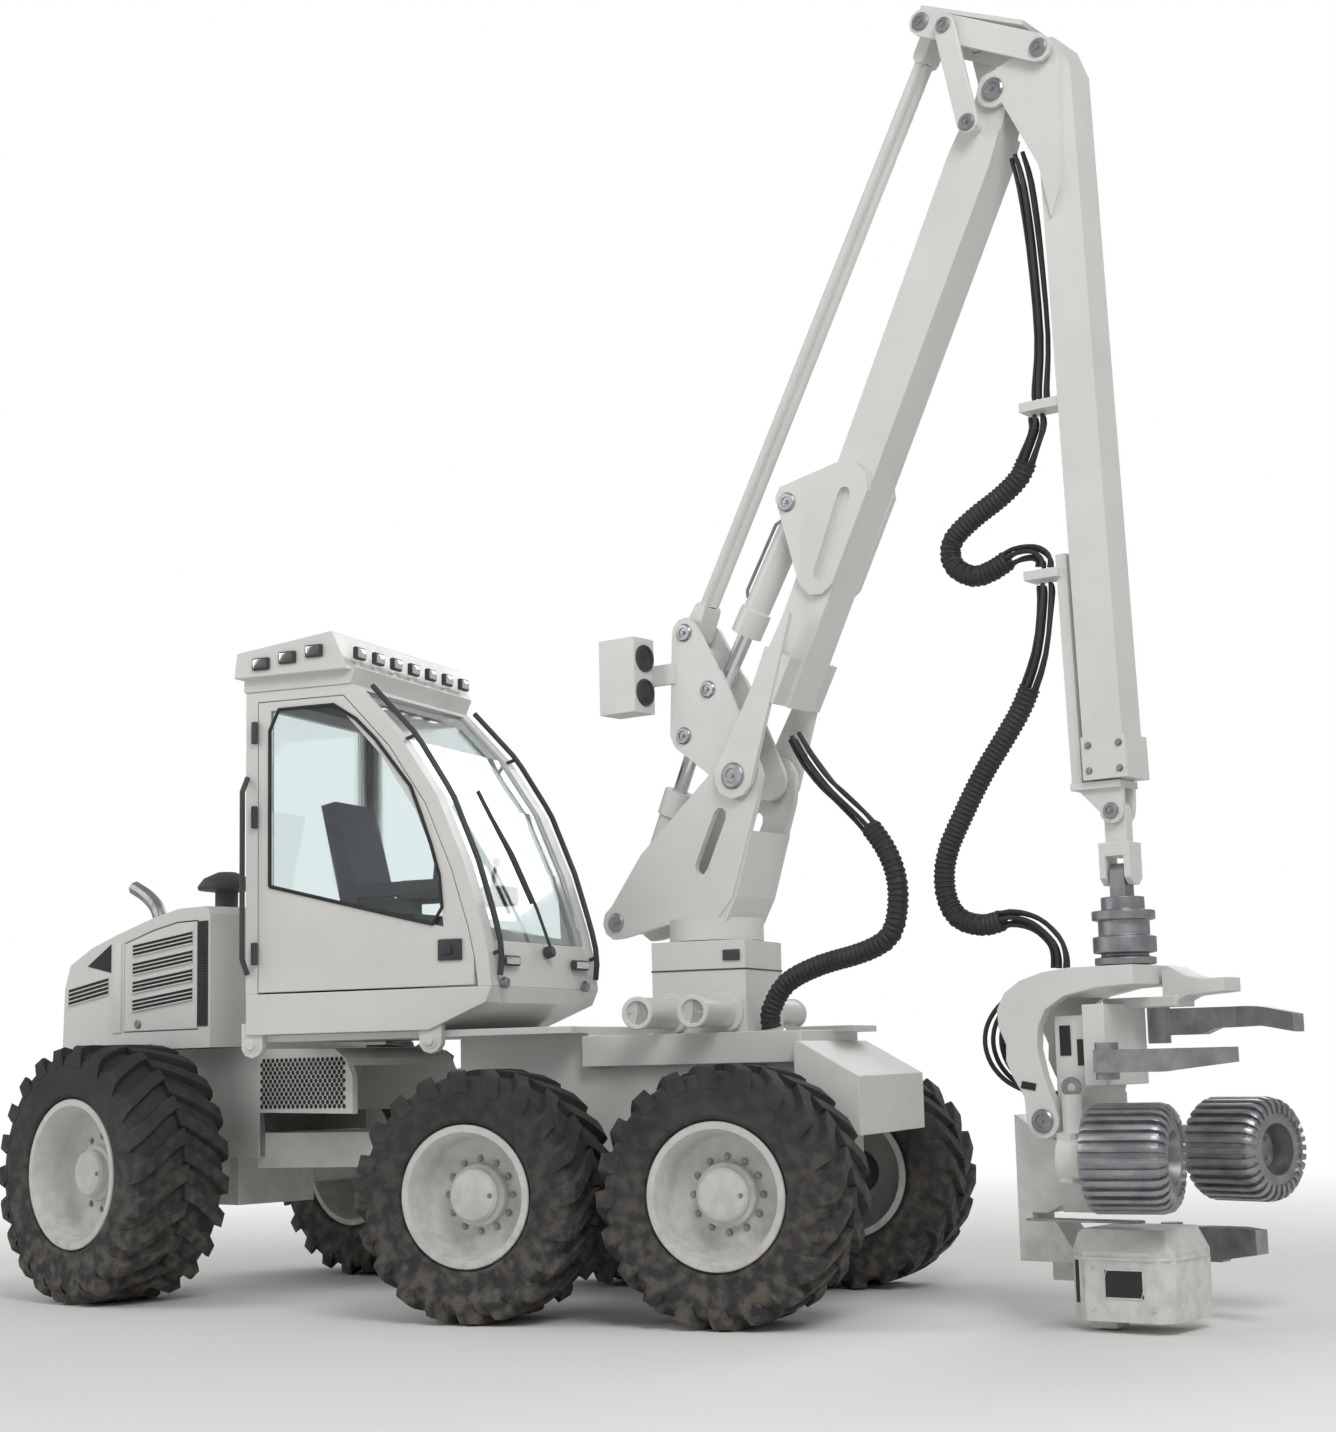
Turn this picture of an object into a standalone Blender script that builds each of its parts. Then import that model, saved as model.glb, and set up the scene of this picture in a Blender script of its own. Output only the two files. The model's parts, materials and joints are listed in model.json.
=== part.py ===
import math

import bmesh
import bpy
from mathutils import Matrix, Vector

# Metres and degrees. The front frame runs along +X with its bogies centred on x = 0; everything is
# moved by SHIFT at the end so that the origin is under the middle of the whole machine.
SHIFT = (0.4420, -0.3226)
JOINT_X = -1.70        # articulation
REAR_TURN = -20.0      # heading of the rear frame
SLEW_X = 0.25
CRANE_TURN = -15.0     # heading of the crane and the head
SLEW_H = 0.10          # slew axis in the crane's own frame
GAP = 0.0003
SIDES = 20
WELD = 0.00005
HOSE_RESOLUTION = 2
PANE_GAP = 0.0005

FRONT_TYRE = {"radius": 0.67, "width": 0.59, "seat": 0.345, "flange": 0.371}
REAR_TYRE = {"radius": 0.77, "width": 0.64, "seat": 0.412, "flange": 0.439}
BOGIE_X = 0.706
FRONT_TRACK = 1.045
REAR_AXLE_H = -1.54
REAR_TRACK = 1.075

# Crane pins in the crane's plane: distance forward, height.
MAIN_PIN = (0.42, 2.91)
LIFT_FOOT = (-0.47, 2.14)
LINK_TOP = (0.02, 3.79)
LINK_MID = (0.18, 3.44)
LINK_LOW = (0.00, 3.19)
BRACKET_PIN = (0.78, 4.435)
SHORT_LOW = (2.07, 6.31)
SHORT_TOP = (1.95, 6.90)
TIP_PIN = (2.19, 6.49)
ROD_TOP = (1.79, 6.98)
STICK_PIN = (2.50, 6.62)
HANG_PIN = (2.64, 2.54)
TILT_PIN = (2.27, 1.00)

COLOURS = {
    "paint": (0.80, 0.80, 0.77, 1), "dark": (0.04, 0.04, 0.045, 1), "tyre": (0.03, 0.03, 0.032, 1),
    "rim": (0.72, 0.72, 0.70, 1), "steel": (0.45, 0.46, 0.48, 1), "chrome": (0.75, 0.76, 0.78, 1),
    "glass": (0.62, 0.70, 0.72, 0.35), "hose": (0.02, 0.02, 0.022, 1), "seat": (0.09, 0.09, 0.10, 1),
}

for old in list(bpy.data.objects):
    bpy.data.objects.remove(old, do_unlink=True)
scene = bpy.context.scene
parts = bpy.data.collections.new("forestry_harvester")
cutters = bpy.data.collections.new("cutters")
cutters.hide_render = True
scene.collection.children.link(parts)
scene.collection.children.link(cutters)

# Frames: empties that the pieces are parented to
# outline (x, z), thick along y
SIDEWAYS = Matrix(((1, 0, 0, 0), (0, 0, -1, 0), (0, 1, 0, 0), (0, 0, 0, 1)))
# outline (x, y), thick along z
FLAT = Matrix.Identity(4)
# outline (y, z), thick along x
CROSSWAYS = Matrix(((0, 0, 1, 0), (1, 0, 0, 0), (0, 1, 0, 0), (0, 0, 0, 1)))


def frame_empty(name, x, turn):
    empty = bpy.data.objects.new(name, None)
    parts.objects.link(empty)
    empty.location = (x + SHIFT[0], SHIFT[1], 0)
    empty.rotation_euler.z = math.radians(turn)
    return empty


FRONT = frame_empty("front_frame_origin", 0, 0)
REAR = frame_empty("articulation_origin", JOINT_X, REAR_TURN)
CRANE = frame_empty("slew_origin", SLEW_X, CRANE_TURN)


def shape_object(mesh):
    made = bpy.data.objects.new("shape", mesh)
    cutters.objects.link(made)
    return made


def finish_mesh(mesh, move):
    """Welds loose caps, turns the faces outwards and puts the mesh in its frame."""
    mesh.transform(move)
    work = bmesh.new()
    work.from_mesh(mesh)
    bmesh.ops.remove_doubles(work, verts=work.verts, dist=WELD)
    bmesh.ops.recalc_face_normals(work, faces=work.faces)
    work.to_mesh(mesh)
    work.free()
    return shape_object(mesh)


def made_mesh(source, move):
    """A curve, or a profile with a Screw, as a plain mesh object."""
    cutters.objects.link(source)
    graph = bpy.context.evaluated_depsgraph_get()
    mesh = bpy.data.meshes.new_from_object(source.evaluated_get(graph))
    bpy.data.objects.remove(source)
    return finish_mesh(mesh, move)


def outline_shape(outline, low, high, facing):
    """A flat outline with thickness: a filled 2D curve, extruded both ways."""
    data = bpy.data.curves.new("outline", "CURVE")
    data.dimensions = "2D"
    data.fill_mode = "BOTH"
    data.extrude = (high - low) / 2
    spline = data.splines.new("POLY")
    spline.points.add(len(outline) - 1)
    for point, (a, b) in zip(spline.points, outline):
        point.co = (a, b, 0, 1)
    spline.use_cyclic_u = True
    middle = (low + high) / 2 * (-1 if facing is SIDEWAYS else 1)
    return made_mesh(bpy.data.objects.new("outline", data), facing @ Matrix.Translation((0, 0, middle)))


def prism(outline, y0, y1):
    return outline_shape(outline, y0, y1, SIDEWAYS)


def plan(outline, z0, z1):
    return outline_shape(outline, z0, z1, FLAT)


def crossways(outline, x0, x1):
    return outline_shape(outline, x0, x1, CROSSWAYS)


def box(x0, x1, y0, y1, z0, z1):
    mesh = bpy.data.meshes.new("box")
    work = bmesh.new()
    bmesh.ops.create_cube(work, size=1)
    work.to_mesh(mesh)
    work.free()
    sizes = Matrix.Diagonal((x1 - x0, y1 - y0, z1 - z0, 1))
    return finish_mesh(mesh, Matrix.Translation(((x0 + x1) / 2, (y0 + y1) / 2, (z0 + z1) / 2)) @ sizes)


def aim(start, axis):
    """The matrix that takes +Z to an axis through start."""
    return Matrix.Translation(start) @ Vector(axis).to_track_quat("Z", "Y").to_matrix().to_4x4()


def rod(start, end, radius, sides=12):
    start, end = Vector(start), Vector(end)
    mesh = bpy.data.meshes.new("rod")
    work = bmesh.new()
    length = (end - start).length
    bmesh.ops.create_cone(work, cap_ends=True, segments=sides, radius1=radius, radius2=radius,
        depth=length)
    work.to_mesh(mesh)
    work.free()
    return finish_mesh(mesh, aim((start + end) / 2, end - start))


def pin(point, half, radius, sides=16):
    return rod((point[0], -half, point[1]), (point[0], half, point[1]), radius, sides)


def turned(profile, centre, axis, sides=SIDES, twist=0.0):
    """A profile of (radius, along), closed or from axis to axis, turned by a Screw modifier."""
    mesh = bpy.data.meshes.new("profile")
    links = [(i, i + 1) for i in range(len(profile) - 1)]
    if profile[0][0] > 0:
        links.append((len(profile) - 1, 0))
    mesh.from_pydata([(r, 0, t) for r, t in profile], links, [])
    source = bpy.data.objects.new("profile", mesh)
    screw = source.modifiers.new("turn", "SCREW")
    screw.steps = screw.render_steps = sides
    screw.use_merge_vertices = True
    screw.merge_threshold = WELD
    return made_mesh(source, aim(centre, axis) @ Matrix.Rotation(twist, 4, "Z"))


def hose(path, radius):
    """A round tube along points: a poly curve with a bevel and filled caps."""
    data = bpy.data.curves.new("tube", "CURVE")
    data.dimensions = "3D"
    data.bevel_depth = radius
    data.bevel_resolution = HOSE_RESOLUTION
    data.use_fill_caps = True
    spline = data.splines.new("POLY")
    spline.points.add(len(path) - 1)
    for point, place in zip(spline.points, path):
        point.co = (*place, 1)
    return made_mesh(bpy.data.objects.new("tube", data), FLAT)


def smooth_path(points, per_span=3):
    """A Catmull-Rom curve through the route's points."""
    out = []
    for i in range(len(points) - 1):
        p = [Vector(points[max(0, min(len(points) - 1, i + k))]) for k in (-1, 0, 1, 2)]
        for s in range(per_span):
            t = s / per_span
            cubic = (3 * p[1] - p[0] - 3 * p[2] + p[3]) * t ** 3
            square = (2 * p[0] - 5 * p[1] + 4 * p[2] - p[3]) * t * t
            out.append(0.5 * (2 * p[1] + (p[2] - p[0]) * t + square + cubic))
    return out + [Vector(points[-1])]


def around(point, radius, start, end, steps=6):
    """Corners of an arc about a pin; 0 degrees points forward and 90 up."""
    angles = [math.radians(start + (end - start) * k / steps) for k in range(steps + 1)]
    return [(point[0] + radius * math.cos(a), point[1] + radius * math.sin(a)) for a in angles]


def capsule(a, b, radius_a, radius_b=None, steps=5):
    heading = math.degrees(math.atan2(b[1] - a[1], b[0] - a[0]))
    far_end = around(b, radius_b or radius_a, heading - 90, heading + 90, steps)
    return far_end + around(a, radius_a, heading + 90, heading + 270, steps)


def shrunk(outline, by):
    """An outline moved inwards by a distance; its corners run anticlockwise or clockwise."""
    area = sum(p[0] * q[1] - q[0] * p[1] for p, q in zip(outline, outline[1:] + outline[:1]))
    by = math.copysign(by, area)
    out = []
    for before, p, after in zip(outline[-1:] + outline[:-1], outline, outline[1:] + outline[:1]):
        one = Vector((p[0] - before[0], p[1] - before[1])).normalized()
        two = Vector((after[0] - p[0], after[1] - p[1])).normalized()
        normal = Vector((-one.y - two.y, one.x + two.x))
        normal *= 2 / normal.length_squared
        out.append((p[0] + normal.x * by, p[1] + normal.y * by))
    return out


def along(a, b, distance, lift=0.0):
    """A point on the line from a to b, lifted off it to its left."""
    length = math.dist(a, b)
    dx, dz = (b[0] - a[0]) / length, (b[1] - a[1]) / length
    return (a[0] + dx * distance - dz * lift, a[1] + dz * distance + dx * lift)


def material(kind):
    found = bpy.data.materials.get(kind)
    if not found:
        found = bpy.data.materials.new(kind)
        found.use_nodes = True
        shader = found.node_tree.nodes["Principled BSDF"]
        shader.inputs["Base Color"].default_value = COLOURS[kind]
        shader.inputs["Metallic"].default_value = 1.0 if kind in ("steel", "chrome") else 0.0
        shader.inputs["Roughness"].default_value = 0.8 if kind in ("tyre", "hose") else 0.4
    return found


def helper_group(name, shapes):
    group = bpy.data.collections.new(name)
    group.hide_render = True
    cutters.children.link(group)
    for i, shape in enumerate(shapes):
        shape.name = f"{name}_{i}"
        cutters.objects.unlink(shape)
        group.objects.link(shape)
        shape.hide_render = True
        shape.display_type = "WIRE"
    return group


def piece(name, kind, frame, add, cut=(), axis_at=None):
    """One node: the first shape of add, joined to the rest and cut by every shape of cut. Shapes are
    given in the frame's own measures, and axis_at is a point of the joint that the piece turns on."""
    for shape in (*add, *cut):
        if frame is CRANE:
            shape.data.transform(Matrix.Translation((-SLEW_H, 0, 0)))
        shape.parent = frame
    made = add[0]
    made.name = made.data.name = name
    cutters.objects.unlink(made)
    parts.objects.link(made)
    if axis_at:
        place = Vector(axis_at) - Vector((SLEW_H if frame is CRANE else 0, 0, 0))
        made.data.transform(Matrix.Translation(-place))
        made.location = place
    made.data.materials.clear()
    made.data.materials.append(material(kind))
    for operation, shapes in (("UNION", add[1:]), ("DIFFERENCE", cut)):
        if not shapes:
            continue
        modifier = made.modifiers.new(operation.lower(), "BOOLEAN")
        modifier.operation = operation
        modifier.solver = "EXACT"
        modifier.operand_type = "COLLECTION"
        modifier.collection = helper_group(f"{name}_{operation.lower()}", shapes)
    return made


# Wheels
def wheel(name, tyre, centre, outward, frame):
    """A tyre and its rim about a sideways axle. outward is +1 on the left and -1 on the right."""
    radius, half, seat, flange = tyre["radius"], tyre["width"] / 2, tyre["seat"], tyre["flange"]
    bead = half - 0.045
    axis = (0, outward, 0)
    one_side = [(seat, bead), (flange + 0.002, bead), (flange + 0.02, bead + 0.02),
                (0.5 * (seat + radius) + 0.02, half), (0.94 * radius, half - 0.02),
                (radius, half - 0.085)]
    profile = one_side + [(r, -t) for r, t in reversed(one_side)]
    piece(f"tyre_{name}", "tyre", frame, [turned(profile, centre, axis, SIDES, math.pi / SIDES)],
        axis_at=centre)
    outer = seat - 0.0006
    inner = seat - 0.022
    lip = bead + 0.018
    profile = [(0, 0.17), (0.165, 0.17), (0.165, 0.06), (inner, 0.06), (inner, lip), (flange, lip),
               (flange, bead + GAP), (outer, bead + GAP), (outer, -bead - GAP), (flange, -bead - GAP),
               (flange, -lip), (inner, -lip), (inner, 0.025), (0, 0.025)]
    piece(f"rim_{name}", "rim", frame, [turned(profile, centre, axis, SIDES, math.pi / SIDES)],
        axis_at=centre)


AXLE_END = 0.017
front_z = FRONT_TYRE["radius"] * math.cos(math.pi / SIDES)
rear_z = REAR_TYRE["radius"] * math.cos(math.pi / SIDES)
for side, sign in (("right", -1), ("left", 1)):
    wheel(f"front_{side}", FRONT_TYRE, (BOGIE_X, sign * FRONT_TRACK, front_z), sign, FRONT)
    wheel(f"middle_{side}", FRONT_TYRE, (-BOGIE_X, sign * FRONT_TRACK, front_z), sign, FRONT)
    wheel(f"rear_{side}", REAR_TYRE, (REAR_AXLE_H, sign * REAR_TRACK, rear_z), sign, REAR)
    inner, outer = sorted((sign * 0.62, sign * 0.72))
    beam = [(-0.86, 0.60), (-0.72, 0.50), (0.72, 0.50), (0.86, 0.60), (0.80, 0.80), (0.30, 0.86),
        (-0.30, 0.86),
            (-0.80, 0.80)]
    stubs = [rod((x, sign * 0.70, front_z), (x, sign * (FRONT_TRACK + AXLE_END), front_z), 0.13, 16)
             for x in (-BOGIE_X, BOGIE_X)]
    piece(f"bogie_{side}", "dark", FRONT, [prism(beam, inner, outer)] + stubs)

# Front frame
fork = [(-1.0, -0.30)] + [(x, y) for x, y in around((JOINT_X, 0), 0.14, 270, 90, 6)] + [(-1.0, 0.30)]
nose = [(0.90, 0.93), (1.26, 0.93), (1.26, 1.24), (0.93, 1.43), (0.90, 1.43)]
piece("front_frame", "paint", FRONT, [
    box(-1.20, 0.95, -0.42, 0.42, 0.78, 1.33),
    box(-1.20, -0.70, -0.35, 0.35, 0.62, 0.80),
    plan(fork, 0.98, 1.06),
    plan(fork, 0.66, 0.74),
    box(-0.38, 0.91, -0.50, 0.50, 1.32, 1.49),
    prism(nose, -0.60, 0.60),
    box(0.62, 1.02, 0.08, 0.52, 1.48, 1.515),
    box(-1.18, -0.37, -0.42, 0.42, 1.32, 1.545),
    box(-2.36, -0.37, -0.66, 0.66, 1.505, 1.545),
    rod((0, -0.62 + GAP, 0.68), (0, 0.62 - GAP, 0.68), 0.13, 16),
    box(-0.20, 0.20, -0.40, 0.40, 0.55, 0.80),
])

# Slewing base: the housing with its two crossways rack cylinders
racks = []
for x in (SLEW_X - 0.16, SLEW_X + 0.16):
    racks += [rod((x, -0.80, 1.60), (x, 0.80, 1.60), 0.085, 16), rod((x, -0.34, 1.60), (x, 0.34, 1.60),
        0.108, 16)]
piece("slew_housing", "paint", FRONT, [
    box(SLEW_X - 0.28, SLEW_X + 0.28, -0.30, 0.30, 1.49 + GAP, 2.0)] + racks)

# Cab: an outline seen from the side, used by the shell, the door, the windows and the roof
CAB_FRONT = [(-0.82, 1.78), (-0.84, 1.96), (-0.88, 2.14), (-0.985, 2.48), (-1.15, 2.87), (-1.39, 3.23),
    (-1.70, 3.56)]
CAB_REAR_X = -2.42
CAB_HALF = 0.73


def inset(points, by):
    """The front curve moved back by a distance across itself."""
    out = []
    for i, p in enumerate(points):
        a, b = points[max(i - 1, 0)], points[min(i + 1, len(points) - 1)]
        length = math.dist(a, b)
        out.append((p[0] - (b[1] - a[1]) / length * by, p[1] + (b[0] - a[0]) / length * by))
    return out


floor_line = [(CAB_REAR_X, 1.546), (-1.22, 1.546), (-0.86, 1.69), (-0.82, 1.78 - GAP),
    (CAB_REAR_X, 1.78 - GAP)]
piece("cab_floor", "paint", FRONT, [prism(floor_line, -CAB_HALF, CAB_HALF)], [
    prism([(-2.36, 1.64), (-1.20, 1.64), (-0.92, 1.72), (-0.90, 1.9), (-2.36, 1.9)], -0.68, 0.68)])
inner_front = inset(CAB_FRONT, 0.09)
shell = [(CAB_REAR_X, 1.78)] + CAB_FRONT + [(CAB_REAR_X, 3.56)]
hollow = [(CAB_REAR_X + 0.05, 1.70), (inner_front[0][0], 1.70)] + inner_front
hollow += [(inner_front[-1][0], 3.70), (CAB_REAR_X + 0.05, 3.70)]
pillar_back = inset(CAB_FRONT, 0.085)
door_hole = [(-2.34, 1.70), (-1.10, 1.70)] + pillar_back[:6] + [(-1.76, 3.50), (-2.34, 3.50)]
left_window = [(-2.32, 2.35), (-1.05, 2.10)] + pillar_back[3:6] + [(-1.76, 3.48), (-2.32, 3.48)]
rear_window = [(-0.58, 2.36), (0.58, 2.36), (0.58, 3.48), (-0.58, 3.48)]
screen_hole = [(-1.2, 2.04), (-0.4, 2.04), (-0.4, 3.53), (-2.0, 3.53), (-2.0, 3.3)]
piece("cab_frame", "paint", FRONT, [prism(shell, -CAB_HALF, CAB_HALF)], [
    prism(hollow, -CAB_HALF + 0.05, CAB_HALF - 0.05), prism(door_hole, -1.0, -0.60),
    prism(left_window, 0.60, 1.0),
    crossways(rear_window, -2.60, -2.30), prism(screen_hole, -0.62, 0.62)])
roof = [(-2.46, 3.64), (-2.44, 3.79), (-1.80, 3.87), (-1.72, 3.70), (-1.70, 3.64)]
ceiling = [(-2.43, 3.56 + GAP), (-1.71, 3.56 + GAP), (-1.67, 3.66), (-2.43, 3.66)]
piece("cab_roof", "paint", FRONT, [prism(roof, -0.80, 0.80), prism(ceiling, -0.74, 0.74)])
door = [(-2.34, 1.784), (-0.925, 1.784)] + pillar_back[1:6] + [(-1.76, 3.50), (-2.34, 3.50)]
door_window = [(-2.25, 2.40), (-1.12, 2.12)] + inset(CAB_FRONT, 0.16)[3:6] + [(-1.80, 3.44),
    (-2.25, 3.44)]
piece("cab_door", "paint", FRONT, [prism(shrunk(door, 0.006), -0.73, -0.69)],
    [prism(door_window, -1, -0.5)],
      axis_at=(CAB_REAR_X + 0.08, -0.735, 1.8))
piece("door_glass", "glass", FRONT, [prism(shrunk(door_window, PANE_GAP), -0.716, -0.708)])
piece("left_glass", "glass", FRONT, [prism(shrunk(left_window, PANE_GAP), 0.705, 0.713)])
piece("rear_glass", "glass", FRONT, [crossways(shrunk(rear_window, PANE_GAP), -2.405, -2.397)])
screen_line = [(-0.872, 2.045), (-0.90, 2.16), (-1.005, 2.48), (-1.17, 2.87), (-1.41, 3.23),
    (-1.678, 3.515)]
screen = screen_line + list(reversed(inset(screen_line, 0.008)))
piece("windshield", "glass", FRONT, [prism(screen, -0.619, 0.619)])
piece("operator_seat", "seat", FRONT, [
    box(-2.06, -1.56, -0.26, 0.26, 2.10, 2.24), prism([(-2.04, 2.2), (-2.20, 2.92), (-2.10, 2.94),
    (-1.92, 2.2)], -0.24, 0.24),
    box(-1.92, -1.70, -0.12, 0.12, 1.645, 2.12), box(-1.98, -1.50, -0.40, -0.29, 2.34, 2.42),
    box(-1.98, -1.50, 0.29, 0.40, 2.34, 2.42),
    box(-1.96, -1.86, -0.40, 0.40, 2.12, 2.36)])

# Rear frame: tongue, rails, guarded neck and axle
tongue = [(-1.0, -0.40), (-0.45, -0.13)] + around((0, 0), 0.13, 270, 450, 6) + [(-0.45, 0.13),
    (-1.0, 0.40)]
guard = [(-1.05, 1.09), (-0.08, 1.08), (-0.08, 1.30), (-0.14, 1.40), (-0.24, 1.46), (-1.05, 1.475)]
piece("rear_frame", "paint", REAR, [
    box(-2.60, -0.95, -0.425, 0.425, 0.82, 1.4895),
    plan(tongue, 0.755, 0.965),
    prism(guard, -0.42, 0.42),
    rod((REAR_AXLE_H, -REAR_TRACK - AXLE_END, rear_z), (REAR_AXLE_H, REAR_TRACK + AXLE_END, rear_z),
    0.14, 16),
    box(REAR_AXLE_H - 0.22, REAR_AXLE_H + 0.22, -0.30, 0.30, 0.52, 0.90),
], [prism([(-0.93, 1.0), (0.2, 1.0), (0.2, 1.27), (-0.3, 1.41), (-0.93, 1.44)], -0.38, 0.38)])
piece("engine_block", "dark", REAR, [box(-2.20, -1.30, -0.32, 0.32, 1.49, 2.05)])
hood = [(-2.66, 1.49), (-2.64, 1.90), (-2.58, 2.05), (-2.34, 2.15), (-2.07, 2.22), (-1.66, 2.31),
    (-1.40, 2.35),
        (-1.12, 2.35), (-1.08, 2.30), (-1.08, 1.49)]
hood_in = [(-2.60, 1.40), (-2.58, 1.90), (-2.53, 2.01), (-2.32, 2.09), (-2.07, 2.16), (-1.66, 2.25),
    (-1.40, 2.29),
           (-1.20, 2.29), (-1.14, 2.24), (-1.14, 1.40)]
side_hole = [(-1.98, 1.60), (-1.20, 1.60), (-1.20, 2.27), (-1.42, 2.27), (-1.66, 2.235), (-1.98, 2.165)]
side_door = [(-1.974, 1.606), (-1.206, 1.606), (-1.206, 2.262), (-1.42, 2.262), (-1.655, 2.228),
    (-1.974, 2.16)]
piece("engine_hood", "paint", REAR, [prism(hood, -0.70, 0.70)], [
    prism(hood_in, -0.66, 0.66), prism(side_hole, -1.0, -0.60),
    rod((-2.09, -0.34, 2.0), (-2.09, -0.34, 2.5), 0.056), rod((-1.78, -0.05, 2.0), (-1.78, -0.05, 2.5),
    0.09)])
piece("hood_door", "paint", REAR, [prism(side_door, -0.70, -0.67)])
pipe = [(-2.09, -0.34, 2.10), (-2.09, -0.34, 2.27), (-2.13, -0.34, 2.40), (-2.24, -0.34, 2.49),
    (-2.39, -0.34, 2.56)]
piece("exhaust_pipe", "steel", REAR, [hose(smooth_path(pipe), 0.048)])
cap = [(0, 0), (0.075, 0), (0.075, 0.40), (0.185, 0.415), (0.19, 0.44), (0.15, 0.49), (0.06, 0.53),
    (0, 0.535)]
piece("air_intake", "dark", REAR, [turned(cap, (-1.78, -0.05, 2.10), (0, 0, 1), 16)])

# Crane pillar: a turntable and two plates with a cross plate in front
pillar = [(-0.10, 2.11), (0.24, 2.11), (0.36, 2.24),
    (0.55, 2.78)] + around(MAIN_PIN, 0.15, -20, 140, 5) + \
    [(-0.28, 2.52)] + around(LIFT_FOOT, 0.10, 110, 290, 5)
slot = capsule((0.15, 2.42), (0.29, 2.70), 0.045, steps=4)
piece("pillar", "paint", CRANE, [
    rod((SLEW_H, 0, 2.006), (SLEW_H, 0, 2.13), 0.27, 24), prism(pillar, 0.16, 0.20),
    prism(pillar, -0.20, -0.16),
    prism([(0.30, 2.10), (0.38, 2.24), (0.50, 2.60), (0.44, 2.60), (0.30, 2.20), (0.20, 2.10)],
    -0.19, 0.19)],
    [prism(slot, -0.3, 0.3)])
lamp = [(-0.48, 3.34), (-0.22, 3.34), (-0.22, 3.78), (-0.48, 3.78)]
link = around(MAIN_PIN, 0.12, -120, 30, 5) + around((0.20, 3.48),
    0.09, 10, 60, 2) + around(LINK_TOP, 0.09, 20, 180, 5) + \
    [(-0.10, 3.20)] + around(LINK_LOW, 0.09, 190, 230, 2)
piece("base_link", "paint", CRANE, [
    prism(link, 0.10, 0.13), prism(link, -0.13, -0.10),
    pin((0.17, 3.20), 0.12, 0.045, 12),
    box(-0.23, -0.05, -0.145, -0.115, 3.50, 3.62), prism(lamp, -0.30, -0.11)])


def cylinder(barrel, rod_name, foot, eye, length, barrel_end, rod_from, barrel_r, rod_r):
    """A barrel with a bore and a rod inside it, both in the crane's middle plane."""
    direction = Vector((eye[0] - foot[0], 0, eye[1] - foot[1])).normalized()
    start = Vector((foot[0], 0, foot[1]))
    profile = [(0, 0.04), (barrel_r, 0.06), (barrel_r, barrel_end - 0.16),
        (barrel_r * 1.18, barrel_end - 0.15),
               (barrel_r * 1.18, barrel_end), (rod_r + 0.006, barrel_end), (rod_r + 0.006, 0.13),
               (0, 0.13)]
    piece(barrel, "paint", CRANE, [turned(profile, start, direction, 16), pin(foot, 0.05, 0.062, 12)])
    tip = start + direction * length
    piece(rod_name, "chrome", CRANE, [rod(start + direction * rod_from, tip, rod_r, 12),
        pin(eye, 0.05, 0.06, 12)])


cylinder("lift_barrel", "lift_rod", LIFT_FOOT, LINK_LOW, math.dist(LIFT_FOOT, LINK_LOW),
    0.82, 0.36, 0.075, 0.042)
cylinder("reach_barrel", "reach_rod", BRACKET_PIN, LINK_MID, math.dist(BRACKET_PIN, LINK_MID),
    0.80, 0.25, 0.078, 0.045)

rods = [prism(capsule(LINK_TOP, along(LINK_TOP, ROD_TOP, 0.16), 0.06, 0.04), -0.08, 0.08),
        prism(capsule(along(LINK_TOP, ROD_TOP, math.dist(LINK_TOP, ROD_TOP) - 0.16),
        ROD_TOP, 0.04, 0.045), -0.08, 0.08)]
for v in (-0.045, 0.045):
    a, b = along(LINK_TOP, ROD_TOP, 0.1), along(LINK_TOP, ROD_TOP, math.dist(LINK_TOP, ROD_TOP) - 0.1)
    rods.append(rod((a[0], v, a[1]), (b[0], v, b[1]), 0.028, 8))
piece("parallel_rods", "paint", CRANE, rods)

boom_box = [along(MAIN_PIN, TIP_PIN, s, w) for s, w in (
    (0.46, -0.11), (3.62, -0.14), (3.80, -0.12), (3.80, 0.12), (3.60, 0.14), (0.75, 0.14),
    (0.46, 0.10))]
cheek = capsule(MAIN_PIN, along(MAIN_PIN, TIP_PIN, 0.95, 0.03), 0.13, 0.02)
bracket = [(0.70, 4.47), (0.73, 4.53), (1.11, 4.605), (1.22, 4.60), (1.30, 4.52), (1.315, 4.42),
    (1.06, 3.93), (0.99, 3.88),
           (0.91, 3.885), (0.84, 3.96)]
bracket_slot = capsule((1.16, 4.42), (0.98, 4.00), 0.042, steps=4)
head_ear = [along(MAIN_PIN, TIP_PIN, s, w) for s, w in ((3.40, 0.0), (3.60, 0.14))] + \
    around(SHORT_LOW, 0.09, 120, 200, 3)[::-1] + around((TIP_PIN[0] - 0.01, TIP_PIN[1] + 0.01),
        0.12, 130, -50, 6) + \
    [along(MAIN_PIN, TIP_PIN, 3.70, -0.13)]
boom = [prism(boom_box, -0.12, 0.12), prism(head_ear, -0.095, 0.095), pin(SHORT_LOW, 0.183, 0.045, 12)]
for y0, y1 in ((0.215, 0.245), (-0.245, -0.215)):
    boom.append(prism(cheek, y0, y1))
for y0, y1 in ((0.112, 0.15), (-0.15, -0.112)):
    boom.append(prism(bracket, y0, y1))
boom.append(prism([along(MAIN_PIN, TIP_PIN, s, w) for s, w in ((0.46, -0.08), (0.74, -0.09),
    (0.74, 0.10), (0.46, 0.09))], -0.235, 0.235))
piece("main_boom", "paint", CRANE, boom, [prism(bracket_slot, 0.1205, 0.2),
    prism(bracket_slot, -0.2, -0.1205)])

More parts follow.
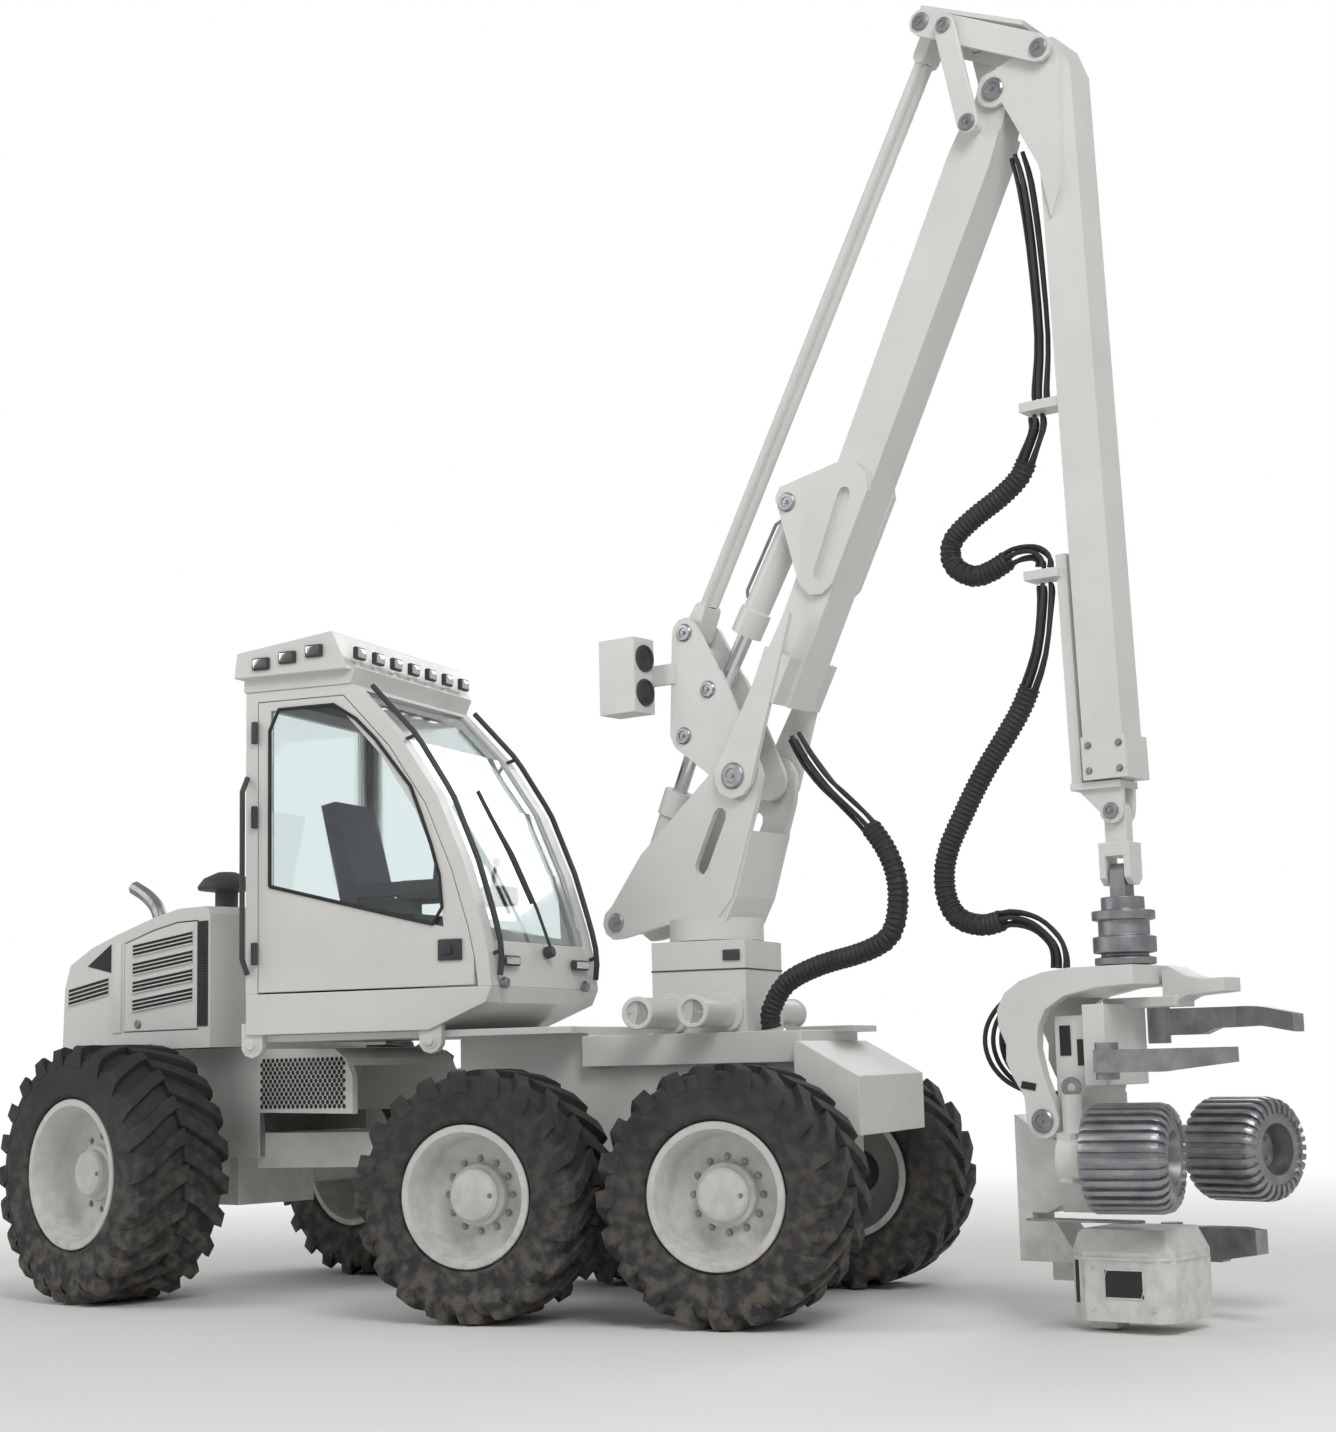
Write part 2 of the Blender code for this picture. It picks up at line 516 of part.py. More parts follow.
bar = capsule(SHORT_LOW, SHORT_TOP, 0.062)
piece("short_link", "paint", CRANE, [pin(SHORT_TOP, 0.20, 0.03, 12), prism(bar, 0.19, 0.215),
    prism(bar, -0.215, -0.19)])
top = capsule(ROD_TOP, STICK_PIN, 0.075, 0.075)
cover = [(1.79, 7.055), (1.80, 7.075), (2.42, 6.80), (2.41, 6.775), (1.80, 7.05)]
piece("top_link", "paint", CRANE, [prism(top, 0.155, 0.18), prism(top, -0.18, -0.155),
    prism(cover, -0.18, 0.18)],
      [pin(SHORT_TOP, 0.3, 0.036, 12)])

outer = [(2.425, 6.58), (2.45, 6.66), (2.50, 6.695), (2.55, 6.69), (2.585, 6.66), (2.645, 6.50),
    (2.745, 2.70), (2.525, 2.70)]
gusset = around(TIP_PIN, 0.10, 180, 300, 5) + [(2.44, 6.0), (2.50, 5.70), (2.56, 5.85),
    (2.575, 6.60)] + \
    around(STICK_PIN, 0.07, 60, 120, 2) + around(TIP_PIN, 0.10, 90, 150, 2)
bore = [(2.502, 4.82), (2.662, 4.82), (2.72, 2.5), (2.56, 2.5)]
piece("outer_boom", "paint", CRANE, [
    prism(outer, -0.11, 0.11), prism(gusset, 0.105, 0.13), prism(gusset, -0.13, -0.105),
    prism([(2.515, 2.92), (2.76, 2.92), (2.766, 2.70), (2.52, 2.70)], -0.125, 0.125),
    box(2.24, 2.50, -0.10, 0.04, 4.685, 4.735)],
    [prism(bore, -0.075, 0.075)])
inner_bar = [(2.590 - 0.068, 4.55), (2.590 + 0.068, 4.55), (2.637 + 0.068, 2.66), (2.637 - 0.068, 2.66)]
carrier = [(2.395, 3.90), (2.455, 3.90), (2.485, 2.68), (2.425, 2.68)]
ext_fork = [(2.43, 2.69), (2.71, 2.69), (2.71, 2.60)] + around(HANG_PIN, 0.065, 0, -180, 6)
piece("extension_boom", "paint", CRANE, [
    prism(inner_bar, -0.064, 0.064), box(2.43, 2.71, -0.10, 0.10, 2.655, 2.692),
    prism(carrier, -0.07, 0.07), prism(ext_fork, 0.046, 0.075), prism(ext_fork, -0.075, -0.046),
    box(2.22, 2.42, -0.10, 0.04, 3.78, 3.83)])

# Head: two swinging links, the rotator, the yoke and the frame with its arms
H = HANG_PIN[0]
lower_ear = [(-0.07, 2.33), (-0.07, 2.20), (-0.03, 2.165), (0.03, 2.165), (0.07, 2.20), (0.07, 2.33)]


piece("swing_link", "paint", CRANE, [
    prism(capsule((H, 2.36), HANG_PIN, 0.06), -0.038, 0.038),
    box(H - 0.085, H + 0.085, -0.07, 0.07, 2.31, 2.38),
    crossways(lower_ear, H - 0.085, H - 0.05), crossways(lower_ear, H + 0.05, H + 0.085)])
body = [(0, 1.765), (0.155, 1.765), (0.155, 1.80), (0.12, 1.805), (0.12, 1.82), (0.16, 1.825),
    (0.16, 1.905), (0.13, 1.91),
        (0.13, 1.985), (0.16, 1.99), (0.16, 2.035), (0.11, 2.04), (0.11, 2.105), (0, 2.105)]
piece("rotator", "steel", CRANE, [
    turned(body, (H, 0, 0), (0, 0, 1), 20),
    crossways([(-0.055, 2.09), (0.055, 2.09), (0.055, 2.24), (0.025, 2.275), (-0.025, 2.275),
    (-0.055, 2.24)],
              H - 0.042, H + 0.042)])
arch = [(2.80, 1.757), (2.45, 1.755), (2.30, 1.738), (2.17, 1.70), (2.08, 1.64), (2.035, 1.56),
    (2.04, 1.47), (2.08, 1.38),
        (2.075, 1.30), (2.11, 1.22), (2.17, 1.12)] + around(TILT_PIN, 0.09, 190, 370, 6) + \
    [(2.33, 1.10), (2.285, 1.22), (2.255, 1.36), (2.265, 1.47), (2.31, 1.55), (2.42, 1.615),
        (2.60, 1.65), (2.80, 1.66)]
piece("head_yoke", "paint", CRANE, [prism(arch, -0.26, 0.26)], [box(1.8, 3.0, -0.19, 0.19, 0.8, 1.61)])
top_knife = [(2.82, 1.57), (2.82, 1.72), (2.86, 1.75), (2.95, 1.70), (3.04, 1.68), (3.15, 1.685),
    (3.15, 1.615), (2.95, 1.60),
             (2.88, 1.57)]
heel = [(2.03, 0.54), (2.03, 1.03), (2.14, 0.95), (2.32, 0.88), (2.32, 0.60), (2.20, 0.54)]
toe = [(2.03, 0.30), (2.03, 0.50), (2.24, 0.50), (2.34, 0.36), (2.34, 0.30)]
piece("head_frame", "paint", CRANE, [
    box(2.31, 2.52, -0.17, 0.17, 0.55, 1.52),
    prism(capsule(TILT_PIN, (2.38, 1.00), 0.085), -0.183, 0.183),
    box(2.50, 2.62, -0.235, 0.235, 1.17, 1.57),
    box(2.50, 2.90, 0.0, 0.22, 1.549, 1.60), prism(top_knife, 0.02, 0.22),
    prism(heel, -0.12, 0.12), box(2.03, 2.11, -0.12, 0.12, 0.40, 0.60), prism(toe, -0.12, 0.12),
    box(2.10, 2.62, 0.085, 0.20, 0.19, 0.44)])
DRUM = [(0, 0.42), (0.11, 0.42), (0.12, 0.52), (0.215, 0.52), (0.26, 0.47), (0.26, 0.14),
    (0.225, 0.10), (0.125, 0.10),
        (0.125, 0.26), (0, 0.26)]
ROLLER_BACK = {"right": ((2.54, -0.52, 0.83), 12), "left": ((2.66, 0.66, 0.83), -14)}
for side, sign in (("right", -1), ("left", 1)):
    place, heading = ROLLER_BACK[side]
    back = Vector(place)
    ahead = Matrix.Rotation(math.radians(heading), 3, "Z") @ Vector((1, 0, 0))
    piece(f"feed_roller_{side}", "steel", CRANE, [turned(DRUM, back, ahead, 20)], axis_at=place)
    pivot = (2.43, sign * 0.245)
    piece(f"feed_arm_{side}", "paint", CRANE, [
        plan(capsule(pivot, place[:2], 0.056), 0.72, 0.95), rod((*pivot, 0.69), (*pivot, 1.13),
        0.052, 12),
        rod(back - ahead * 0.04, back + ahead * 0.235, 0.10, 16)], axis_at=(*pivot, 0.83))
near_knife = [(2.62, -0.37), (2.78, -0.41), (3.08, -0.42), (3.36, -0.36), (3.35, -0.31), (3.08, -0.35),
    (2.80, -0.32),
              (2.68, -0.26)]
far_knife = [(2.62, 0.37), (2.80, 0.43), (3.08, 0.43), (3.30, 0.36), (3.46, 0.23), (3.42, 0.19),
    (3.26, 0.29), (3.06, 0.345),
             (2.80, 0.33), (2.68, 0.26)]
piece("knife_right", "steel", CRANE, [
    plan(near_knife, 1.235, 1.345), rod((2.66, -0.30, 1.20), (2.66, -0.30, 1.38), 0.058, 12)],
    [prism([(2.95, 1.20), (3.4, 1.20), (3.4, 1.28), (2.95, 1.23)], -0.6, 0)],
    axis_at=(2.66, -0.30, 1.3))
piece("knife_left", "steel", CRANE, [
    plan(far_knife, 1.41, 1.545), rod((2.66, 0.30, 1.37), (2.66, 0.30, 1.58), 0.058, 12)],
    [prism([(2.85, 1.40), (2.95, 1.44), (3.2, 1.445), (3.5, 1.40)], 0, 0.6),
     prism([(2.9, 1.56), (3.2, 1.54), (3.5, 1.49), (3.5, 1.60), (2.9, 1.60)],
     0, 0.6)], axis_at=(2.66, 0.30, 1.5))
low_knife = [(2.66, 0.30), (2.85, 0.37), (3.06, 0.35), (3.22, 0.20), (3.18, 0.15), (3.02, 0.26),
    (2.85, 0.27), (2.72, 0.21)]
piece("knife_lower", "steel", CRANE, [
    plan(low_knife, 0.29, 0.46), rod((2.69, 0.26, 0.25), (2.69, 0.26, 0.48), 0.055, 12)],
    [prism([(2.95, 0.28), (3.3, 0.28), (3.3, 0.36), (2.95, 0.30)], 0, 0.6)], axis_at=(2.69, 0.26, 0.4))
saw_plan = [(2.40, -0.26), (2.53, -0.40), (2.92, -0.40), (2.98, -0.34), (2.98, 0.06), (2.40, 0.06)]
piece("saw_box", "paint", CRANE, [plan(saw_plan, 0.055, 0.487),
    box(2.50, 2.64, -0.30, -0.16, 0.012, 0.08)], [
    prism([(2.30, 0.38), (2.40, 0.38), (2.49, 0.487), (2.49, 0.55), (2.30, 0.55)], -0.5, 0.2),
    prism([(3.05, 0.38), (2.98, 0.38), (2.92, 0.487), (2.92, 0.55), (3.05, 0.55)], -0.5, 0.2),
    crossways([(-0.50, 0.38), (-0.40, 0.38), (-0.32, 0.487), (-0.32, 0.55), (-0.50, 0.55)], 2.2, 3.2)])
blade = capsule((2.74, -0.26), (2.20, -0.26), 0.055, 0.045)
piece("saw_bar", "steel", CRANE, [plan(blade, 0.512, 0.524)], axis_at=(2.74, -0.26, 0.518))

# Hoses, drawn at rest
HOSES = {
    "hose_base": (0.058, -0.10, [(0.53, 1.51), (0.53, 1.60), (0.64, 1.75), (0.87, 1.84), (1.16, 1.90),
    (1.33, 1.99), (1.38, 2.20),
                                 (1.34, 2.39), (1.22, 2.57), (1.05, 2.735), (0.95, 2.83), (0.83, 2.98),
                                 (0.75, 3.11)]),
    "hose_knuckle": (0.045, -0.03, [(2.27, 6.12), (2.31, 5.95), (2.345, 5.60), (2.365, 5.10),
    (2.34, 4.82), (2.34, 4.752)]),
    "hose_stick": (0.058, -0.03, [(2.31, 4.668), (2.31, 4.60), (2.25, 4.47), (2.19, 4.36),
    (2.07, 4.27), (1.90, 4.18), (1.765, 4.075),
                                  (1.765, 3.945), (1.886, 3.865), (2.016, 3.885), (2.139, 3.94),
                                  (2.25, 3.94), (2.31, 3.895),
                                  (2.31, 3.85)]),
    "hose_head": (0.058, -0.03, [(2.31, 3.76), (2.31, 3.68), (2.26, 3.40), (2.15, 3.15), (2.03, 2.98),
    (1.89, 2.80), (1.756, 2.59),
                                 (1.65, 2.39), (1.63, 2.20), (1.70, 2.055), (1.86, 2.005),
                                 (2.02, 2.035), (2.16, 2.00), (2.26, 1.91),
                                 (2.29, 1.83), (2.29, 1.762)]),
}
for name, (radius, side, route) in HOSES.items():
    piece(name, "hose", CRANE, [hose(smooth_path([(h, side, z) for h, z in route]), radius)])
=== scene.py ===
import math

import bmesh
import bpy
from mathutils import Matrix, Vector
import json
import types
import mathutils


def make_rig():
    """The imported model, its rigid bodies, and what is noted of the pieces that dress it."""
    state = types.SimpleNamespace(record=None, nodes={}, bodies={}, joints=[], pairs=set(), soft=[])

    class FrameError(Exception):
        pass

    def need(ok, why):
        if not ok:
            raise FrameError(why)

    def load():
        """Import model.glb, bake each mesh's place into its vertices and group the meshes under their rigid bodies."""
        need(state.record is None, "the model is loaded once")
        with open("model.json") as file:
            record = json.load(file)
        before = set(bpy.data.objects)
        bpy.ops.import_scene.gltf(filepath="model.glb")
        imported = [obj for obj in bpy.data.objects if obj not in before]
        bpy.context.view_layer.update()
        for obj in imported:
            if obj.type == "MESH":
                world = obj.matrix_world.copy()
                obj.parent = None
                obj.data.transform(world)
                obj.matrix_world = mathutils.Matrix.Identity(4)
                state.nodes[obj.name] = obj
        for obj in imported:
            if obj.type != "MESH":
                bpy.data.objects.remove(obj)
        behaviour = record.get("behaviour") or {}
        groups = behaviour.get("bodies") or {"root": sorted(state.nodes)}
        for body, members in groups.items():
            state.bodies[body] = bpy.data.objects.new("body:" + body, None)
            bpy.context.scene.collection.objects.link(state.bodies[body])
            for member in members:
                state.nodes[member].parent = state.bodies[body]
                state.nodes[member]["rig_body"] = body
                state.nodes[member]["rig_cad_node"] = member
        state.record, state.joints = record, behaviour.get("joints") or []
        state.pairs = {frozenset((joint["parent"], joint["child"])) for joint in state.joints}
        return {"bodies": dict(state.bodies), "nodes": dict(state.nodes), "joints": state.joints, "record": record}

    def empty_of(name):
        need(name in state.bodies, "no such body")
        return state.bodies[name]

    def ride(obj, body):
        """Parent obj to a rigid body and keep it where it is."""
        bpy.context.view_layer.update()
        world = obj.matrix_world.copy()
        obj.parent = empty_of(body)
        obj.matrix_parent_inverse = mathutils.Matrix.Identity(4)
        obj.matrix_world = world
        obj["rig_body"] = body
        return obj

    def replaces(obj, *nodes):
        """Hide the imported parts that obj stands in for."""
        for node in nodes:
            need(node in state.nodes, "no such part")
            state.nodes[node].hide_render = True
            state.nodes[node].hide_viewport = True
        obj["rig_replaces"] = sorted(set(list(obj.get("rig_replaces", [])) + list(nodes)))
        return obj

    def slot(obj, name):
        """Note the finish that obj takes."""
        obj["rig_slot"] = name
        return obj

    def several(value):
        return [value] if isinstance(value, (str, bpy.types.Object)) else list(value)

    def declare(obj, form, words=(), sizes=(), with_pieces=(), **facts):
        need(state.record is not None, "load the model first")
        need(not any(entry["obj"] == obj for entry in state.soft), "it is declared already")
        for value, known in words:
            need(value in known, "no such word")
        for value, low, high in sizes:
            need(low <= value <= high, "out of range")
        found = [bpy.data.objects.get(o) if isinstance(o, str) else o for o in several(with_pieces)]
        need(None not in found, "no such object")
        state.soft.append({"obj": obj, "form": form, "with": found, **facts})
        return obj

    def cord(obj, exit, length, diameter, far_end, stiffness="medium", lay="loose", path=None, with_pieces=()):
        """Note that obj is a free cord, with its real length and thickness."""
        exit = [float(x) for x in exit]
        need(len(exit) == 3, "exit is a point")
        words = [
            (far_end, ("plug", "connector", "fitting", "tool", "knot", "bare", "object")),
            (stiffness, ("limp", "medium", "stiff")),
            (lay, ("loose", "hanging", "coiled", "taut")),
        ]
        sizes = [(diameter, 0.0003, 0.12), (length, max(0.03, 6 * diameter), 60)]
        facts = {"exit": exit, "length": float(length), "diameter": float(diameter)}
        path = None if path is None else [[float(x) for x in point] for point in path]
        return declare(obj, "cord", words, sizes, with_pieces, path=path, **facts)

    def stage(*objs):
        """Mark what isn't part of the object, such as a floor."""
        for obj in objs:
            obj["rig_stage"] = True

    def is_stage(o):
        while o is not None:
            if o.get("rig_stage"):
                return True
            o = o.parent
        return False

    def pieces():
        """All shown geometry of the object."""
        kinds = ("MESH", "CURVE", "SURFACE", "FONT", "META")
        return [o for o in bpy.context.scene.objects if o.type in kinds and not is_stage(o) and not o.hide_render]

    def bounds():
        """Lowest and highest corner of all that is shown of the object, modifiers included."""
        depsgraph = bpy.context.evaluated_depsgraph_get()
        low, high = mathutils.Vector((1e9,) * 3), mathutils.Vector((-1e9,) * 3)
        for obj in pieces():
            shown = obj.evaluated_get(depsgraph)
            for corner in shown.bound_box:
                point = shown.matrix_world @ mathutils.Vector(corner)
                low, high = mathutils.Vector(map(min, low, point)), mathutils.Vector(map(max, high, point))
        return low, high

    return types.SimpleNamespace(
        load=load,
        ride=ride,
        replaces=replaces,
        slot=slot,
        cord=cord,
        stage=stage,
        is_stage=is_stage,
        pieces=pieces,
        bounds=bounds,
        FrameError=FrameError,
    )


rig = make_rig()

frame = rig.load()
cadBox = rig.bounds()
scene = bpy.context.scene
print("frame loaded:", len(frame["nodes"]), "nodes")

# The machine's three headings: front frame, rear frame, crane with its head
machine = {"origin": (0.4420, -0.3226, 0), "articulationX": -1.70, "rearTurn": -20, "slewX": 0.25,
           "craneTurn": -15, "slewOffset": 0.10}


def turnZ(degrees):
    return Matrix.Rotation(math.radians(degrees), 4, "Z")


def move(x, y, z):
    return Matrix.Translation((x, y, z))


onFront = move(*machine["origin"])
onRear = onFront @ move(machine["articulationX"], 0, 0) @ turnZ(machine["rearTurn"])
onCrane = onFront @ move(machine["slewX"],
    0, 0) @ turnZ(machine["craneTurn"]) @ move(-machine["slewOffset"], 0, 0)

# Camera
view = {"place": (5.0133, -12.3788, 1.3478), "right": (0.92481, 0.37967, -0.02419),
        "up": (0.07786, -0.12665, 0.98889), "ahead": (-0.37238, 0.91641, 0.14669), "lens": 58.27}
cameraData = bpy.data.cameras.new("camera")
cameraData.lens = view["lens"]
cameraData.sensor_width = 36
cameraData.clip_end = 300
camera = bpy.data.objects.new("camera", cameraData)
scene.collection.objects.link(camera)
axes = Matrix((view["right"], view["up"], [-a for a in view["ahead"]])).transposed()
camera.matrix_world = onFront @ move(*view["place"]) @ axes.to_4x4()
scene.camera = camera
scene.view_settings.view_transform = "Standard"


# Materials
def startMaterial(name):
    made = bpy.data.materials.new(name)
    made.use_nodes = True
    return made, made.node_tree, made.node_tree.nodes["Principled BSDF"]


def addNode(tree, kind, settings=None, **inputs):
    node = tree.nodes.new(kind)
    for key, value in (settings or {}).items():
        setattr(node, key, value)
    for key, value in inputs.items():
        socket = node.inputs[key.replace("_",
            " ")] if not key[1:].isdigit() else node.inputs[int(key[1:])]
        if isinstance(value, bpy.types.NodeSocket):
            tree.links.new(value, socket)
        else:
            socket.default_value = value
    return node


def noise(tree, vector, scale, detail=4):
    return addNode(tree, "ShaderNodeTexNoise", Vector=vector, Scale=scale,
        Detail=detail).outputs["Fac"]


def between(tree, factor, low, high, toLow=0.0, toHigh=1.0):
    node = addNode(tree, "ShaderNodeMapRange")
    tree.links.new(factor, node.inputs["Value"])
    for key, value in (("From Min", low), ("From Max", high), ("To Min", toLow),
        ("To Max", toHigh)):
        node.inputs[key].default_value = value
    return node.outputs["Result"]


def blendColour(tree, factor, first, second):
    node = tree.nodes.new("ShaderNodeMix")
    node.data_type = "RGBA"
    tree.links.new(factor, node.inputs[0])
    for socket, value in ((node.inputs[6], first), (node.inputs[7], second)):
        if isinstance(value, bpy.types.NodeSocket):
            tree.links.new(value, socket)
        else:
            socket.default_value = (*value, 1)
    return node.outputs[2]


def coated(name, look):
    made, tree, shader = startMaterial(name)
    place = addNode(tree, "ShaderNodeTexCoord").outputs["Object"]
    patches = noise(tree, place, look.get("patchScale", 2.5))
    colour = blendColour(tree, between(tree, patches, 0.35, 0.65), look["colour"], look["second"])
    if look.get("dust"):
        height = addNode(tree, "ShaderNodeSeparateXYZ", Vector=place).outputs["Z"]
        low = between(tree, height, look.get("dustTop", 1.3), 0.1)
        speckle = between(tree, noise(tree, place, 14, 6), 0.42, 0.62)
        amount = addNode(tree, "ShaderNodeMath", {"operation": "MULTIPLY"}, i0=low,
            i1=speckle).outputs[0]
        part = addNode(tree, "ShaderNodeMath", {"operation": "MULTIPLY"}, i0=amount,
            i1=look["dust"]).outputs[0]
        colour = blendColour(tree, part, colour, look.get("dustColour", (0.36, 0.31, 0.24)))
    tree.links.new(colour, shader.inputs["Base Color"])
    fine = noise(tree, place, look.get("grainScale", 160), 3)
    rough = between(tree, noise(tree, place, look.get("wearScale", 9), 5), 0.3, 0.7,
                    look["roughness"] - look.get("spread", 0.08),
                    look["roughness"] + look.get("spread", 0.08))
    tree.links.new(rough, shader.inputs["Roughness"])
    bump = addNode(tree, "ShaderNodeBump", Strength=look.get("bump", 0.1),
        Distance=look.get("depth", 0.002), Height=fine)
    tree.links.new(bump.outputs["Normal"], shader.inputs["Normal"])
    shader.inputs["Metallic"].default_value = look.get("metallic", 0)
    shader.inputs["Coat Weight"].default_value = look.get("coat", 0)
    return made


paint = coated("paint", {"colour": (0.74, 0.74, 0.71), "second": (0.70, 0.70, 0.675),
    "roughness": 0.36, "coat": 0.25,
                         "dust": 0.30, "bump": 0.06, "grainScale": 240, "depth": 0.001})
wheelPaint = coated("wheelPaint", {"colour": (0.66, 0.66, 0.64), "second": (0.61, 0.61, 0.585),
    "roughness": 0.42,
                                   "dust": 0.45, "bump": 0.08})
darkPaint = coated("darkPaint", {"colour": (0.045, 0.046, 0.05), "second": (0.065, 0.065, 0.066),
    "roughness": 0.5,
                                 "dust": 0.35, "bump": 0.12})
tyreRubber = coated("tyreRubber", {"colour": (0.028, 0.028, 0.03), "second": (0.042, 0.041, 0.04),
    "roughness": 0.82,
                                   "dust": 0.28, "bump": 0.25, "grainScale": 90, "depth": 0.003})
sleeveRubber = coated("sleeveRubber", {"colour": (0.022, 0.022, 0.025),
    "second": (0.036, 0.036, 0.038),
                                       "roughness": 0.6, "bump": 0.15})
steel = coated("steel", {"colour": (0.30, 0.31, 0.33), "second": (0.42, 0.42, 0.43),
    "roughness": 0.42, "metallic": 0.9,
                         "patchScale": 12, "bump": 0.2, "grainScale": 110, "spread": 0.14,
                         "dust": 0.15})
rodChrome = coated("rodChrome", {"colour": (0.78, 0.79, 0.80), "second": (0.72, 0.73, 0.75),
    "roughness": 0.14,
                                 "metallic": 1.0, "spread": 0.04, "bump": 0.02})
# Near-black rubber for the door seal and the cab lining; the same material also paints the shade in louvre gaps, vent
# openings, holes, slots and windows as dark sheets
gasketAndShade = coated("gasketAndShade", {"colour": (0.02, 0.02, 0.022), "second": (0.03, 0.03, 0.03),
    "roughness": 0.7, "bump": 0.1})
seatFabric = coated("seatFabric", {"colour": (0.07, 0.07, 0.08), "second": (0.10, 0.10, 0.11),
    "roughness": 0.9,
                                   "grainScale": 420, "bump": 0.5, "depth": 0.003})


def clearGlass(name, tint, roughness):
    made, tree, shader = startMaterial(name)
    place = addNode(tree, "ShaderNodeTexCoord").outputs["Object"]
    smears = between(tree, noise(tree, place, 3.5, 6), 0.4, 0.8, roughness, roughness + 0.10)
    tree.links.new(smears, shader.inputs["Roughness"])
    shader.inputs["Base Color"].default_value = (*tint, 1)
    shader.inputs["Transmission Weight"].default_value = 1.0
    shader.inputs["IOR"].default_value = 1.45
    return made


glass = clearGlass("glass", (0.86, 0.92, 0.92), 0.01)
lens = clearGlass("lens", (0.97, 0.97, 0.95), 0.08)
slotMaterials = {"paint": paint, "dark": darkPaint, "tyre": tyreRubber, "rim": wheelPaint,
    "steel": steel,
                 "chrome": rodChrome, "glass": glass, "hose": sleeveRubber, "seat": seatFabric}
bodyOf = {node: body for body, nodes in frame["record"]["behaviour"]["bodies"].items() for node in nodes}
slotOf = {row["node"]: row["material_slot"] for row in frame["record"]["subparts"]}
print("materials ready")


# Making pieces
def newPiece(name, mesh, material, body, slot, smooth=True):
    made = bpy.data.objects.new(name, mesh)
    scene.collection.objects.link(made)
    mesh.materials.clear()
    mesh.materials.append(material)
    if smooth is not None:
        for face in mesh.polygons:
            face.use_smooth = smooth
    if smooth:
        mesh.set_sharp_from_angle(angle=math.radians(35))
    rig.ride(made, body)
    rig.slot(made, slot)
    return made


def evaluated(obj):
    graph = bpy.context.evaluated_depsgraph_get()
    return bpy.data.meshes.new_from_object(obj.evaluated_get(graph))


def softened(node, width=0.005, material=None):
    source = frame["nodes"][node]
    mesh = source.data.copy()
    work = bmesh.new()
    work.from_mesh(mesh)
    bmesh.ops.remove_doubles(work, verts=work.verts, dist=0.00005)
    bmesh.ops.dissolve_limit(work, angle_limit=math.radians(0.6),
        verts=work.verts, edges=work.edges)
    work.to_mesh(mesh)
    work.free()
    name = f"{node}_finished"
    made = bpy.data.objects.new(name, mesh)
    scene.collection.objects.link(made)
    bevel = made.modifiers.new("edges", "BEVEL")
    bevel.width = width
    bevel.segments = 2
    bevel.limit_method = "ANGLE"
    bevel.angle_limit = math.radians(34)
    evened = made.modifiers.new("evened", "WEIGHTED_NORMAL")
    evened.keep_sharp = True
    for face in mesh.polygons:
        face.use_smooth = True
    mesh.set_sharp_from_angle(angle=math.radians(34))
    mesh = evaluated(made)
    bpy.data.objects.remove(made)
    made = newPiece(name, mesh, material or slotMaterials[slotOf[node]], bodyOf[node], slotOf[node],
        None)
    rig.replaces(made, node)
    return made


# Hoses: each sleeve follows its route, with ribs
def routeCurve(points, perSpan=3):
    out = []
    for i in range(len(points) - 1):
        p = [Vector(points[max(0, min(len(points) - 1, i + k))]) for k in (-1, 0, 1, 2)]
        for s in range(perSpan):
            t = s / perSpan
            cubic = (3 * p[1] - p[0] - 3 * p[2] + p[3]) * t ** 3
            square = (2 * p[0] - 5 * p[1] + 4 * p[2] - p[3]) * t * t
            out.append(0.5 * (2 * p[1] + (p[2] - p[0]) * t + square + cubic))
    return out + [Vector(points[-1])]


